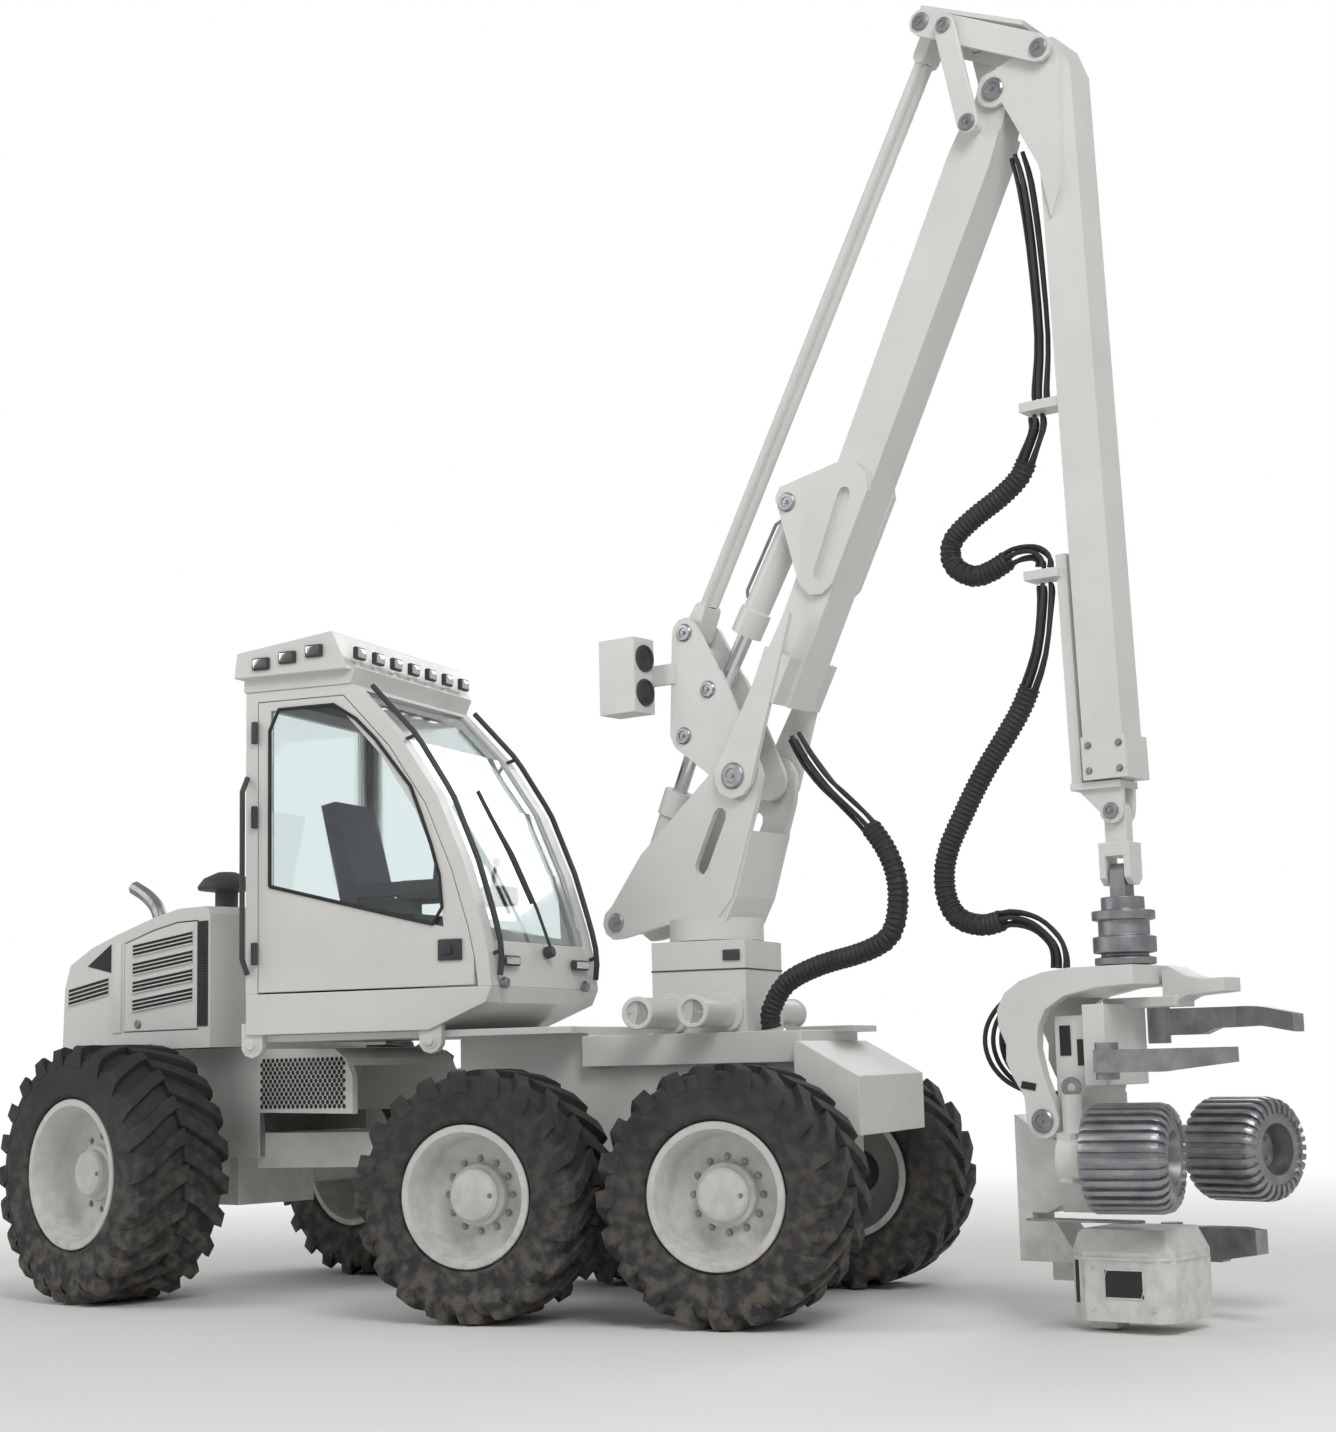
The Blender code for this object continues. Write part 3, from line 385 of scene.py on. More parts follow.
def tubeMesh(points, radius, ribPitch, ribDepth, sides=20):
    length = sum((b - a).length for a, b in zip(points, points[1:]))
    steps = max(2, int(length / ribPitch)) * 4 if ribPitch else len(points) * 3
    data = bpy.data.curves.new("route", "CURVE")
    data.dimensions = "3D"
    spline = data.splines.new("POLY")
    spline.points.add(len(points) - 1)
    for knot, place in zip(spline.points, points):
        knot.co = (*place, 1)
    tree = bpy.data.node_groups.new("ribbedTube", "GeometryNodeTree")
    tree.interface.new_socket("Geometry", in_out="INPUT", socket_type="NodeSocketGeometry")
    tree.interface.new_socket("Geometry", in_out="OUTPUT", socket_type="NodeSocketGeometry")
    sockets = {}
    for label, kind, value in (("Radius", "NodeSocketFloat", radius),
        ("Rib depth", "NodeSocketFloat", ribDepth),
                               ("Steps", "NodeSocketInt", steps),
                               ("Sides", "NodeSocketInt", sides)):
        sockets[label] = (tree.interface.new_socket(label, in_out="INPUT",
            socket_type=kind).identifier, value)
    link = tree.links.new
    given, out = tree.nodes.new("NodeGroupInput"), tree.nodes.new("NodeGroupOutput")
    resample, index = tree.nodes.new("GeometryNodeResampleCurve"), tree.nodes.new("GeometryNodeInputIndex")
    modulo, dip = tree.nodes.new("ShaderNodeMath"), tree.nodes.new("ShaderNodeMath")
    away, size = tree.nodes.new("ShaderNodeMath"), tree.nodes.new("ShaderNodeMath")
    circle = tree.nodes.new("GeometryNodeCurvePrimitiveCircle")
    tube = tree.nodes.new("GeometryNodeCurveToMesh")
    modulo.operation, dip.operation = "MODULO", "GREATER_THAN"
    away.operation, size.operation = "MULTIPLY", "SUBTRACT"
    modulo.inputs[1].default_value = 4
    dip.inputs[1].default_value = 1.5
    circle.inputs["Radius"].default_value = 1
    tube.inputs["Fill Caps"].default_value = True
    link(given.outputs["Geometry"], resample.inputs["Curve"])
    link(given.outputs["Steps"], resample.inputs["Count"])
    link(given.outputs["Sides"], circle.inputs["Resolution"])
    link(index.outputs[0], modulo.inputs[0])
    link(modulo.outputs[0], dip.inputs[0])
    link(dip.outputs[0], away.inputs[0])
    link(given.outputs["Rib depth"], away.inputs[1])
    link(given.outputs["Radius"], size.inputs[0])
    link(away.outputs[0], size.inputs[1])
    link(resample.outputs["Curve"], tube.inputs["Curve"])
    link(circle.outputs["Curve"], tube.inputs["Profile Curve"])
    link(size.outputs[0], tube.inputs["Scale"])
    link(tube.outputs["Mesh"], out.inputs["Geometry"])
    made = bpy.data.objects.new("route", data)
    scene.collection.objects.link(made)
    modifier = made.modifiers.new("ribs", "NODES")
    modifier.node_group = tree
    for identifier, value in sockets.values():
        modifier[identifier] = value
    mesh = evaluated(made)
    bpy.data.objects.remove(made)
    work = bmesh.new()
    work.from_mesh(mesh)
    bmesh.ops.remove_doubles(work, verts=work.verts, dist=0.00001)
    bmesh.ops.recalc_face_normals(work, faces=work.faces)
    work.to_mesh(mesh)
    work.free()
    return mesh, length


hoses = {
    "hose_base": {"body": "crane_base", "radius": 0.058, "rib": 0.03, "side": -0.1, "bare": [(0.72,
    1.0)], "route": [
        (0.53, 1.51), (0.53, 1.6), (0.64, 1.75), (0.87, 1.84), (1.16, 1.9), (1.33, 1.99),
        (1.38, 2.2),
        (1.34, 2.39), (1.22, 2.57), (1.05, 2.735), (0.95, 2.83), (0.83, 2.98), (0.75, 3.11)]},
    "hose_knuckle": {"body": "main_boom", "radius": 0.045, "rib": 0.026, "side": -0.03,
    "bare": [(0.0, 1.0)], "route": [
        (2.27, 6.12), (2.31, 5.95), (2.345, 5.6), (2.365, 5.1), (2.34, 4.82), (2.34, 4.752)]},
    "hose_stick": {"body": "outer_boom", "radius": 0.058, "rib": 0.026, "side": -0.03,
    "bare": [(0.0, 0.15), (0.85, 1.0)], "route": [
        (2.31, 4.668), (2.31, 4.6), (2.25, 4.47), (2.19, 4.36), (2.07, 4.27), (1.9, 4.18),
        (1.765, 4.075),
        (1.765, 3.945), (1.886, 3.865), (2.016, 3.885), (2.139, 3.94), (2.25, 3.94), (2.31, 3.895),
        (2.31, 3.85)]},
    "hose_head": {"body": "extension", "radius": 0.058, "rib": 0.026, "side": -0.03, "bare": [(0.0,
    0.2), (0.82, 1.0)], "route": [
        (2.31, 3.76), (2.31, 3.68), (2.26, 3.4), (2.15, 3.15), (2.03, 2.98), (1.89, 2.8),
        (1.756, 2.59),
        (1.65, 2.39), (1.63, 2.2), (1.7, 2.055), (1.86, 2.005), (2.02, 2.035), (2.16, 2.0),
        (2.26, 1.91),
        (2.29, 1.83), (2.29, 1.762)]},
}
strand = {"radius": 0.0125, "ring": 0.036, "count": 5}


def stretchOf(points, start, end):
    reach = [0.0]
    for a, b in zip(points, points[1:]):
        reach.append(reach[-1] + (b - a).length)
    return [p for p, s in zip(points,
        reach) if start * reach[-1] - 1e-6 <= s <= end * reach[-1] + 1e-6]


def strandsAround(points, side):
    for number in range(strand["count"]):
        angle = math.tau * (number + 0.5) / strand["count"]
        made = []
        for i, place in enumerate(points):
            ahead = (points[min(i + 1, len(points) - 1)] - points[max(i - 1, 0)]).normalized()
            out = ahead.cross(side).normalized()
            swell = strand["ring"] * (1 + 0.10 * math.sin(2.1 * number + 9 * i / len(points)))
            made.append(place + swell * (math.cos(angle) * side + math.sin(angle) * out))
        yield made


crossways = onCrane.to_3x3() @ Vector((0, 1, 0))
for node, hose in hoses.items():
    path = routeCurve([onCrane @ Vector((h, hose["side"], z)) for h, z in hose["route"]])
    parts = []
    cuts = [0.0] + [edge for pair in hose["bare"] for edge in pair] + [1.0]
    for start, end in zip(cuts[::2], cuts[1::2]):
        if end - start > 0.02:
            covered = stretchOf(path, start, end)
            mesh, length = tubeMesh(covered, hose["radius"], hose["rib"], 0.006)
            parts.append((newPiece(f"{node}_sleeve_{len(parts)}", mesh, sleeveRubber, hose["body"],
                "hose"), covered, length,
                          2 * hose["radius"]))
    for start, end in hose["bare"]:
        for number, points in enumerate(strandsAround(stretchOf(path, start - 0.03, end + 0.03),
            crossways)):
            mesh, length = tubeMesh(points, strand["radius"], 0, 0, 10)
            parts.append((newPiece(f"{node}_line_{start:.1f}_{number}", mesh, sleeveRubber,
                hose["body"], "hose"), points,
                          length, 2 * strand["radius"]))
    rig.replaces(parts[0][0], node)
    for piece, points, length, diameter in parts:
        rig.cord(piece, exit=points[0], length=length, diameter=diameter, far_end="object",
            stiffness="stiff",
                lay="hanging", path=points)
print("hoses ready")

# Painted and steel pieces with their edges eased
for node in frame["nodes"]:
    source = frame["nodes"][node]
    slot = slotOf[node]
    if slot in ("paint", "dark", "steel", "seat") and "roller" not in node:
        softened(node)
    elif slot in ("glass", "chrome"):
        source.data.materials.clear()
        source.data.materials.append(slotMaterials[slot])
print("frame pieces finished")

# Shapes that the details share
def cleaned(work):
    bmesh.ops.remove_doubles(work, verts=work.verts, dist=0.00002)
    bmesh.ops.recalc_face_normals(work, faces=work.faces)
    mesh = bpy.data.meshes.new("shape")
    work.to_mesh(mesh)
    work.free()
    return mesh


def block(x0, x1, y0, y1, z0, z1, ease=0.006):
    work = bmesh.new()
    bmesh.ops.create_cube(work, size=1)
    for v in work.verts:
        v.co = Vector(((x0 + x1) / 2 + v.co.x * (x1 - x0), (y0 + y1) / 2 + v.co.y * (y1 - y0),
                       (z0 + z1) / 2 + v.co.z * (z1 - z0)))
    if ease:
        bmesh.ops.bevel(work, geom=work.edges[:],
            offset=ease, segments=2, affect="EDGES", profile=0.6)
    return cleaned(work)


def slab(outline, thickness, ease=0.003):
    work = bmesh.new()
    low = [work.verts.new((a, b, 0)) for a, b in outline]
    high = [work.verts.new((a, b, thickness)) for a, b in outline]
    work.faces.new(low)
    work.faces.new(high)
    for i in range(len(outline)):
        k = (i + 1) % len(outline)
        work.faces.new((low[i], low[k], high[k], high[i]))
    bmesh.ops.recalc_face_normals(work, faces=work.faces)
    if ease:
        rim = [e for e in work.edges if (e.verts[0] in high) == (e.verts[1] in high)]
        bmesh.ops.bevel(work, geom=rim, offset=ease, segments=2, affect="EDGES", profile=0.6)
    return cleaned(work)


def spun(profile, steps=48):
    work = bmesh.new()
    verts = [work.verts.new((r, 0, t)) for r, t in profile]
    edges = [work.edges.new(pair) for pair in zip(verts, verts[1:])]
    if profile[0][0] > 0 and profile[0] != profile[-1]:
        edges.append(work.edges.new((verts[-1], verts[0])))
    bmesh.ops.spin(work, geom=verts + edges, cent=(0, 0, 0), axis=(0, 0, 1),
        angle=math.tau, steps=steps)
    return cleaned(work)


def joined(meshes):
    work = bmesh.new()
    for mesh in meshes:
        work.from_mesh(mesh)
    mesh = bpy.data.meshes.new("joined")
    work.to_mesh(mesh)
    work.free()
    return mesh


def moved(mesh, matrix):
    mesh = mesh.copy()
    mesh.transform(matrix)
    if matrix.determinant() < 0:
        mesh.flip_normals()
    return mesh


def toward(place, axis):
    return Matrix.Translation(place) @ Vector(axis).to_track_quat("Z", "Y").to_matrix().to_4x4()


# Stands an outline drawn in (x, z) upright, facing the right
sideFace = Matrix(((1, 0, 0, 0), (0, 0, -1, 0), (0, 1, 0, 0), (0, 0, 0, 1)))


def repeatTree():
    tree = bpy.data.node_groups.new("repeatedPiece", "GeometryNodeTree")
    tree.interface.new_socket("Geometry", in_out="INPUT", socket_type="NodeSocketGeometry")
    tree.interface.new_socket("Geometry", in_out="OUTPUT", socket_type="NodeSocketGeometry")
    for label, kind in (("Count", "NodeSocketInt"), ("Step", "NodeSocketVector"),
        ("Turn", "NodeSocketFloat"),
                        ("Material", "NodeSocketMaterial")):
        tree.interface.new_socket(label, in_out="INPUT", socket_type=kind)
    given, out = tree.nodes.new("NodeGroupInput"), tree.nodes.new("NodeGroupOutput")
    points, index = tree.nodes.new("GeometryNodePoints"), tree.nodes.new("GeometryNodeInputIndex")
    along, angle = tree.nodes.new("ShaderNodeVectorMath"), tree.nodes.new("ShaderNodeMath")
    spin = tree.nodes.new("FunctionNodeAxisAngleToRotation")
    copies = tree.nodes.new("GeometryNodeInstanceOnPoints")
    real = tree.nodes.new("GeometryNodeRealizeInstances")
    painted = tree.nodes.new("GeometryNodeSetMaterial")
    along.operation, angle.operation = "SCALE", "MULTIPLY"
    spin.inputs["Axis"].default_value = (0, 0, 1)
    for a, b in ((given.outputs["Count"], points.inputs["Count"]), (given.outputs["Step"],
        along.inputs[0]),
                 (index.outputs[0], along.inputs["Scale"]), (along.outputs[0],
                 points.inputs["Position"]),
                 (index.outputs[0], angle.inputs[0]), (given.outputs["Turn"], angle.inputs[1]),
                 (angle.outputs[0], spin.inputs["Angle"]), (points.outputs[0],
                 copies.inputs["Points"]),
                 (given.outputs["Geometry"], copies.inputs["Instance"]), (spin.outputs[0],
                 copies.inputs["Rotation"]),
                 (copies.outputs[0], real.inputs[0]), (real.outputs[0], painted.inputs["Geometry"]),
                 (given.outputs["Material"], painted.inputs["Material"]), (painted.outputs[0],
                 out.inputs[0])):
        tree.links.new(a, b)
    return tree


repeater = repeatTree()


def repeated(mesh, count, step=(0, 0, 0), turn=0.0, material=None):
    made = bpy.data.objects.new("unit", mesh)
    scene.collection.objects.link(made)
    modifier = made.modifiers.new("copies", "NODES")
    modifier.node_group = repeater
    values = {"Count": count, "Step": step, "Turn": turn, "Material": material or steel}
    for item in repeater.interface.items_tree:
        if item.in_out == "INPUT" and item.name in values:
            modifier[item.identifier] = values[item.name]
    result = evaluated(made)
    bpy.data.objects.remove(made)
    return result


def bolt(radius=0.012, height=0.008):
    return joined([spun([(0, height), (radius * 0.85, height), (radius, height * 0.7), (radius, 0),
        (0, 0)], 6),
                   spun([(0, height * 0.25), (radius * 1.5, height * 0.25), (radius * 1.5, 0),
                   (0, 0)], 20)])


def pipe(points, radius, sides=12):
    return tubeMesh([Vector(p) for p in points], radius, 0, 0, sides)[0]


# Wheels
tyres = {"front": {"radius": 0.6615, "half": 0.295, "seat": 0.345, "flange": 0.371, "lugs": 20,
    "tread": 0.036},
         "rear": {"radius": 0.7600, "half": 0.320, "seat": 0.412, "flange": 0.439, "lugs": 22,
         "tread": 0.038}}


def lugMesh(tyre):
    base, top, half = tyre["radius"] - tyre["tread"], tyre["radius"], tyre["half"]
    wide = 0.5 * math.tau / tyre["lugs"] * 0.46
    stations = [(half + 0.002, base - 0.085, base - 0.055, 0.00),
        (half + 0.004, base - 0.06, top - 0.048, 0.01),
                (half - 0.012, base - 0.03, top - 0.012, 0.03),
                (half - 0.05, base - 0.02, top - 0.001, 0.06),
                (half * 0.55, base - 0.02, top, 0.15), (half * 0.25, base - 0.02, top, 0.24),
                (-0.012, base - 0.02, top, 0.30)]
    work = bmesh.new()
    rings = []
    for along, low, high, angle in stations:
        ring = []
        for r, side in ((low, -1.25), (high, -0.9), (high, 0.9), (low, 1.25)):
            a = angle + side * wide
            ring.append(work.verts.new((r * math.cos(a), r * math.sin(a), along)))
        rings.append(ring)
    for one, two in zip(rings, rings[1:]):
        for i in range(4):
            work.faces.new((one[i], one[(i + 1) % 4], two[(i + 1) % 4], two[i]))
    work.faces.new(rings[0])
    work.faces.new(rings[-1])
    bmesh.ops.recalc_face_normals(work, faces=work.faces)
    return cleaned(work)


def wheel(place, axis, tyre, name, body):
    carcass, half, seat = tyre["radius"] - tyre["tread"], tyre["half"], tyre["seat"]
    flange, bead = tyre["flange"], tyre["half"] - 0.045
    side = [(seat + 0.004, bead - 0.002), (flange + 0.012, bead + 0.004),
        (flange + 0.018, bead + 0.022),
            (flange + 0.035, bead + 0.032), (flange + 0.040, bead + 0.030),
            (0.45 * flange + 0.55 * carcass, half - 0.001),
            (0.30 * flange + 0.70 * carcass, half), (0.25 * flange + 0.75 * carcass, half - 0.004),
            (carcass - 0.055, half - 0.006), (carcass - 0.022, half - 0.028),
            (carcass - 0.004, half - 0.075),
            (carcass, half * 0.4)]
    carcassMesh = spun(side + [(r, -t) for r, t in reversed(side)], 72)
    lug = lugMesh(tyre)
    pitch = math.tau / tyre["lugs"]
    rightLugs = repeated(lug, tyre["lugs"], turn=pitch, material=tyreRubber)
    leftLugs = moved(rightLugs, Matrix.Rotation(pitch / 2, 4, "Z") @ Matrix.Diagonal((1, 1, -1, 1)))
    place = toward(place, axis)
    rubber = moved(joined([carcassMesh, rightLugs, leftLugs]), place)
    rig.replaces(newPiece(f"tyre_{name}_tread", rubber, tyreRubber, body, "tyre"), f"tyre_{name}")
    outer, inner, lip = seat - 0.001, seat - 0.020, bead + 0.020
    dish = [(0, 0.182), (0.10, 0.182), (0.125, 0.176), (0.138, 0.160), (0.140, 0.125),
        (0.160, 0.120), (0.166, 0.108),
            (0.166, 0.072), (inner - 0.06, 0.066), (inner - 0.03, 0.074), (inner - 0.012, 0.100),
            (inner - 0.010, lip - 0.06),
            (inner, lip - 0.045), (inner + 0.004, lip - 0.012), (inner + 0.012, lip),
            (flange - 0.002, lip),
            (flange + 0.003, lip - 0.006), (flange + 0.001, bead + 0.003), (outer, bead - 0.008),
            (outer, 0.02),
            (outer - 0.03, 0.0), (outer, -0.02), (outer, -bead + 0.008), (flange, -bead - 0.003),
            (flange + 0.003, -lip + 0.006),
            (flange - 0.002, -lip), (inner + 0.012, -lip), (inner, -lip + 0.05),
            (inner - 0.01, 0.0), (0, 0.028)]
    bolts = repeated(moved(bolt(0.014, 0.014),
        move(0.190 if tyre["seat"] < 0.4 else 0.215, 0, 0.069)), 12,
                     turn=math.tau / 12, material=steel)
    plug = moved(bolt(0.009, 0.010), move(0.105, 0, 0.180))
    rim = newPiece(f"rim_{name}_dish", moved(joined([spun(dish, 72)]), place),
        wheelPaint, body, "rim")
    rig.replaces(rim, f"rim_{name}")
    newPiece(f"bolts_{name}", moved(joined([bolts, plug]), place), steel, body, "steel")


frontAxleZ, rearAxleZ = 0.6617, 0.7605
for side, sign in (("right", -1), ("left", 1)):
    for end, x in (("front", 0.706), ("middle", -0.706)):
        wheel(onFront @ Vector((x, sign * 1.045, frontAxleZ)), (0, sign, 0), tyres["front"],
            f"{end}_{side}",
              f"wheel_{end}_{side}")
    outwards = onRear.to_3x3() @ Vector((0, sign, 0))
    wheel(onRear @ Vector((-1.54, sign * 1.075, rearAxleZ)), outwards, tyres["rear"],
        f"rear_{side}", f"wheel_rear_{side}")
print("wheels ready")

# Pieces in the front frame, in the rear frame and in the crane's plane
def fitted(name, meshes, matrix, material, body, slot):
    return newPiece(name, moved(joined(meshes), matrix), material, body, slot)


def onSide(outline, thickness, y, ease=0.003):
    return moved(slab(outline, thickness, ease), move(0, y, 0) @ sideFace)


# Cab: roof band with work lights, guard rails, wiper, handle, lugs and the inner lining
cab = {"roofHalf": 0.802, "lampSize": (0.115, 0.075)}


def workLight(width, height, depth=0.03):
    housing = block(-width / 2, width / 2, -depth, 0, -height / 2, height / 2, 0.012)
    face = block(-width / 2 + 0.010, width / 2 - 0.010, -depth - 0.004, -depth + 0.004,
        -height / 2 + 0.010,
                 height / 2 - 0.010, 0.008)
    return housing, face


housing, face = workLight(*cab["lampSize"])
roofSpots = []
for x in (-2.27, -2.09, -1.91):
    for sign in (-1, 1):
        spot = move(x, sign * (cab["roofHalf"] - 0.012),
            3.735 + 0.13 * (x + 2.1)) @ turnZ(0 if sign < 0 else 180)
        roofSpots.append(spot)
for i in range(7):
    roofSpots.append(move(-1.705, -0.66 + 0.22 * i, 3.745) @ turnZ(90))
fitted("roof_lights", [moved(housing, spot) for spot in roofSpots],
    onFront, darkPaint, "front", "dark")
fitted("roof_light_faces", [moved(face, spot) for spot in roofSpots],
    onFront, lens, "front", "glass")
guardLine = [(-0.815, 1.84), (-0.80, 1.98), (-0.84, 2.16), (-0.94, 2.49), (-1.10, 2.88),
    (-1.33, 3.24), (-1.62, 3.55)]
rails = []
for y in (-0.655, 0.655):
    rails.append(pipe([(x + 0.012, y, z) for x, z in guardLine], 0.017))
    rails.extend(pipe([(x + 0.012, y, z), (x - 0.055, y, z - 0.02)],
        0.012, 8) for x, z in guardLine[1::4])
fitted("windscreen_rails", rails, onFront, darkPaint, "front", "dark")
wiper = [spun([(0, 0.05), (0.030, 0.05), (0.036, 0.04), (0.036, 0), (0, 0)], 20)]
wiperPlace = toward((-0.835, 0.02, 1.985), (1, 0, 0.25))
arm = [(-0.80, 0.02, 2.0), (-0.86, -0.05, 2.25), (-0.955, -0.16, 2.56), (-1.075, -0.28, 2.85)]
bladeLine = [(-0.855, -0.12, 2.27), (-0.95, -0.21, 2.56), (-1.055, -0.29, 2.82),
    (-1.10, -0.32, 2.93)]
fitted("wiper", [moved(wiper[0], wiperPlace), pipe(arm, 0.010, 8), pipe(bladeLine, 0.013, 8)],
    onFront, darkPaint,
       "front", "dark")
seal = [(-2.255, 2.405), (-2.255, 3.445), (-1.795, 3.445), (-1.60, 3.29), (-1.31, 2.92),
    (-1.145, 2.46), (-1.115, 2.12)]
fitted("door_seal", [pipe([(x, -0.733, z) for x, z in seal + [seal[0]]], 0.011, 8)],
    onFront, gasketAndShade, "cab_door", "dark")
latch = [block(-1.15, -1.00, -0.745, -0.728, 1.93, 2.05, 0.006),
    block(-1.125, -1.06, -0.757, -0.740, 1.965, 2.015, 0.005)]
fitted("door_latch", latch, onFront, darkPaint, "cab_door", "dark")
hinges = [spun([(0, 0.13), (0.016, 0.13), (0.020, 0.125), (0.020, 0.005), (0.016, 0), (0, 0)], 16)]
fitted("door_hinges", [moved(hinges[0], move(-2.35, -0.748, z)) for z in (1.95, 2.75, 3.25)],
    onFront, darkPaint, "front",
       "dark")
fitted("grab_rail", [pipe([(-2.40, -0.745, 1.90), (-2.40, -0.80, 1.95), (-2.40, -0.80, 3.0),
    (-2.40, -0.745, 3.05)], 0.016)],
       onFront, darkPaint, "front", "dark")
lug = [(-0.07, 0.13), (-0.07, -0.02), (-0.045, -0.055), (0, -0.07), (0.045, -0.055), (0.07, -0.02),
    (0.07, 0.13)]
lugs = [moved(slab(lug, 0.05, 0.004), move(x, -0.66, 1.485) @ sideFace) for x in (-2.39, -1.22)]
lugs += [moved(bolt(0.028, 0.02), toward((x, -0.71, 1.485), (0, -1, 0))) for x in (-2.39, -1.22)]
fitted("cab_mounts", lugs, onFront, paint, "front", "paint")
bumperBolts = [moved(spun([(0, 0.03), (0.028, 0.03), (0.034, 0.024), (0.034, 0), (0, 0)], 24),
               toward((-0.812, y, 1.80), (1, 0, -0.1))) for y in (-0.60, 0.50)]
fitted("cab_front_bolts", bumperBolts, onFront, steel, "front", "steel")
lowLamps, lowFaces = workLight(0.20, 0.06, 0.035)
lowSpots = [move(-0.83, y, 1.925) @ turnZ(90) for y in (-0.50, 0.45)]
fitted("low_lamps", [moved(lowLamps, spot) for spot in lowSpots],
    onFront, darkPaint, "front", "dark")
fitted("low_lamp_faces", [moved(lowFaces, spot) for spot in lowSpots],
    onFront, lens, "front", "glass")
lining = [block(-2.35, -1.78, -0.66, 0.66, 3.535, 3.552, 0.004),
    block(-2.36, -2.345, -0.66, -0.60, 1.80, 3.53, 0.003),
          block(-2.36, -2.345, 0.60, 0.66, 1.80, 3.53, 0.003),
          block(-2.34, -2.33, -0.62, 0.62, 1.80, 2.34, 0.003)]
fitted("cab_lining", lining, onFront, gasketAndShade, "front", "dark")
consoles = [block(-1.55, -1.22, -0.46, -0.28, 2.30, 2.42, 0.02),
    block(-1.55, -1.22, 0.28, 0.46, 2.30, 2.42, 0.02),
            pipe([(-1.36, -0.37, 2.41), (-1.35, -0.37, 2.50), (-1.33, -0.37, 2.56)], 0.013, 10),
            pipe([(-1.36, 0.37, 2.41), (-1.35, 0.37, 2.50), (-1.33, 0.37, 2.56)], 0.013, 10),
            spun([(0, 0.05), (0.02, 0.045), (0.028, 0.02), (0.022, 0), (0, 0)], 16)]
consoles[4:] = [moved(consoles[4], move(-1.33, y, 2.55)) for y in (-0.37, 0.37)]
fitted("control_arms", consoles, onFront, darkPaint, "front", "dark")

# Hood: louvres on the side door, vents behind it, mesh before it, the lock and the perforated guard. The louvre gaps,
# the vent openings, the plate behind the mesh and the guard's holes are dark sheets of painted shade
hoodSide = {"v": 0.7005, "bands": (2.075, 1.96, 1.845, 1.73),
    "from": -1.88, "length": 0.62, "rise": 0.055, "open": 0.072}


def slanted(x, z, length, height, rise, thickness, v):
    return onSide([(x, z), (x + length, z + rise), (x + length, z + rise + height),
        (x, z + height)], thickness, -v, 0.001)


# The dark plates behind the slats are painted shade in the louvre gaps
louvreGapShade, doorSlats = [], []
for z in hoodSide["bands"]:
    args = (hoodSide["length"], hoodSide["open"], hoodSide["rise"], 0.004, hoodSide["v"])
    louvreGapShade.append(slanted(hoodSide["from"], z, *args))
    slat = slanted(hoodSide["from"] - 0.005, z - 0.004, hoodSide["length"] + 0.01, 0.007,
        hoodSide["rise"], 0.014, hoodSide["v"])
    doorSlats.append(repeated(slat, 4, step=(0, 0, 0.0242), material=paint))
lock = moved(spun([(0, 0.016), (0.022, 0.016), (0.028, 0.011), (0.028, 0), (0, 0)], 24),
             toward((-1.82, -0.70, 1.65), (0, -1, 0)))
# Dark plates that paint the shade inside the vent openings
rearVentShade = [slanted(-2.59, 1.79, 0.44, 0.105, 0.06, 0.004, hoodSide["v"]),
            onSide([(-2.38, 2.035), (-2.12, 1.985), (-2.12, 2.165)], 0.004, -hoodSide["v"], 0.001)]
ventSlats = [repeated(slanted(-2.595, 1.784, 0.45, 0.007, 0.06, 0.012, hoodSide["v"]),
    5, step=(0, 0, 0.0265), material=paint)]
# A dark plate behind the wire mesh, painted shade
meshShadePlate = onSide([(-1.20, 1.62), (-1.10, 1.62), (-1.10, 2.26), (-1.20, 2.26)],
    0.004, -hoodSide["v"], 0.001)
wireV = onSide([(-1.198, 1.62), (-1.194, 1.62), (-1.194, 2.26), (-1.198, 2.26)],
    0.008, -hoodSide["v"], 0)
wireH = onSide([(-1.20, 1.622), (-1.10, 1.622), (-1.10, 1.627), (-1.20, 1.627)],
    0.008, -hoodSide["v"], 0)
meshWires = [repeated(wireV, 7, step=(0.0155, 0, 0)), repeated(wireH, 40, step=(0, 0, 0.016))]
strip = block(-2.09, -2.00, -0.712, -0.699, 1.60, 2.17, 0.004)
# Each hole of the guard is a dark disc of painted shade
hole = moved(spun([(0, 0.003), (0.014, 0.003), (0.014, 0), (0, 0)], 10),
    toward((-0.93, -0.4205, 1.125), (0, -1, 0)))
rows = repeated(repeated(hole, 19, step=(0.043, 0, 0), material=gasketAndShade), 6, step=(0, 0, 0.050),
    material=gasketAndShade)
offsetRows = moved(repeated(repeated(hole, 18, step=(0.043, 0, 0), material=gasketAndShade),
    6, step=(0, 0, 0.050), material=gasketAndShade),
              move(0.0215, 0, 0.025))
for side, sign in (("right", 1), ("left", -1)):
    onThis = onRear @ Matrix.Diagonal((1, sign, 1, 1))
    body = "hood_door" if side == "right" else "rear"
    fitted(f"hood_louvre_shade_{side}", louvreGapShade, onThis, gasketAndShade, body, "dark")
    fitted(f"hood_slats_{side}", doorSlats, onThis, paint, body, "paint")
    fitted(f"hood_lock_{side}", [lock], onThis, steel, body, "steel")
    fitted(f"hood_vent_{side}", rearVentShade + [meshShadePlate], onThis, gasketAndShade, "rear", "dark")
    fitted(f"hood_vent_slats_{side}", ventSlats + [strip], onThis, paint, "rear", "paint")
    fitted(f"hood_mesh_{side}", meshWires, onThis, darkPaint, "rear", "dark")
    fitted(f"guard_holes_{side}", [rows, offsetRows], onThis, gasketAndShade, "rear", "dark")

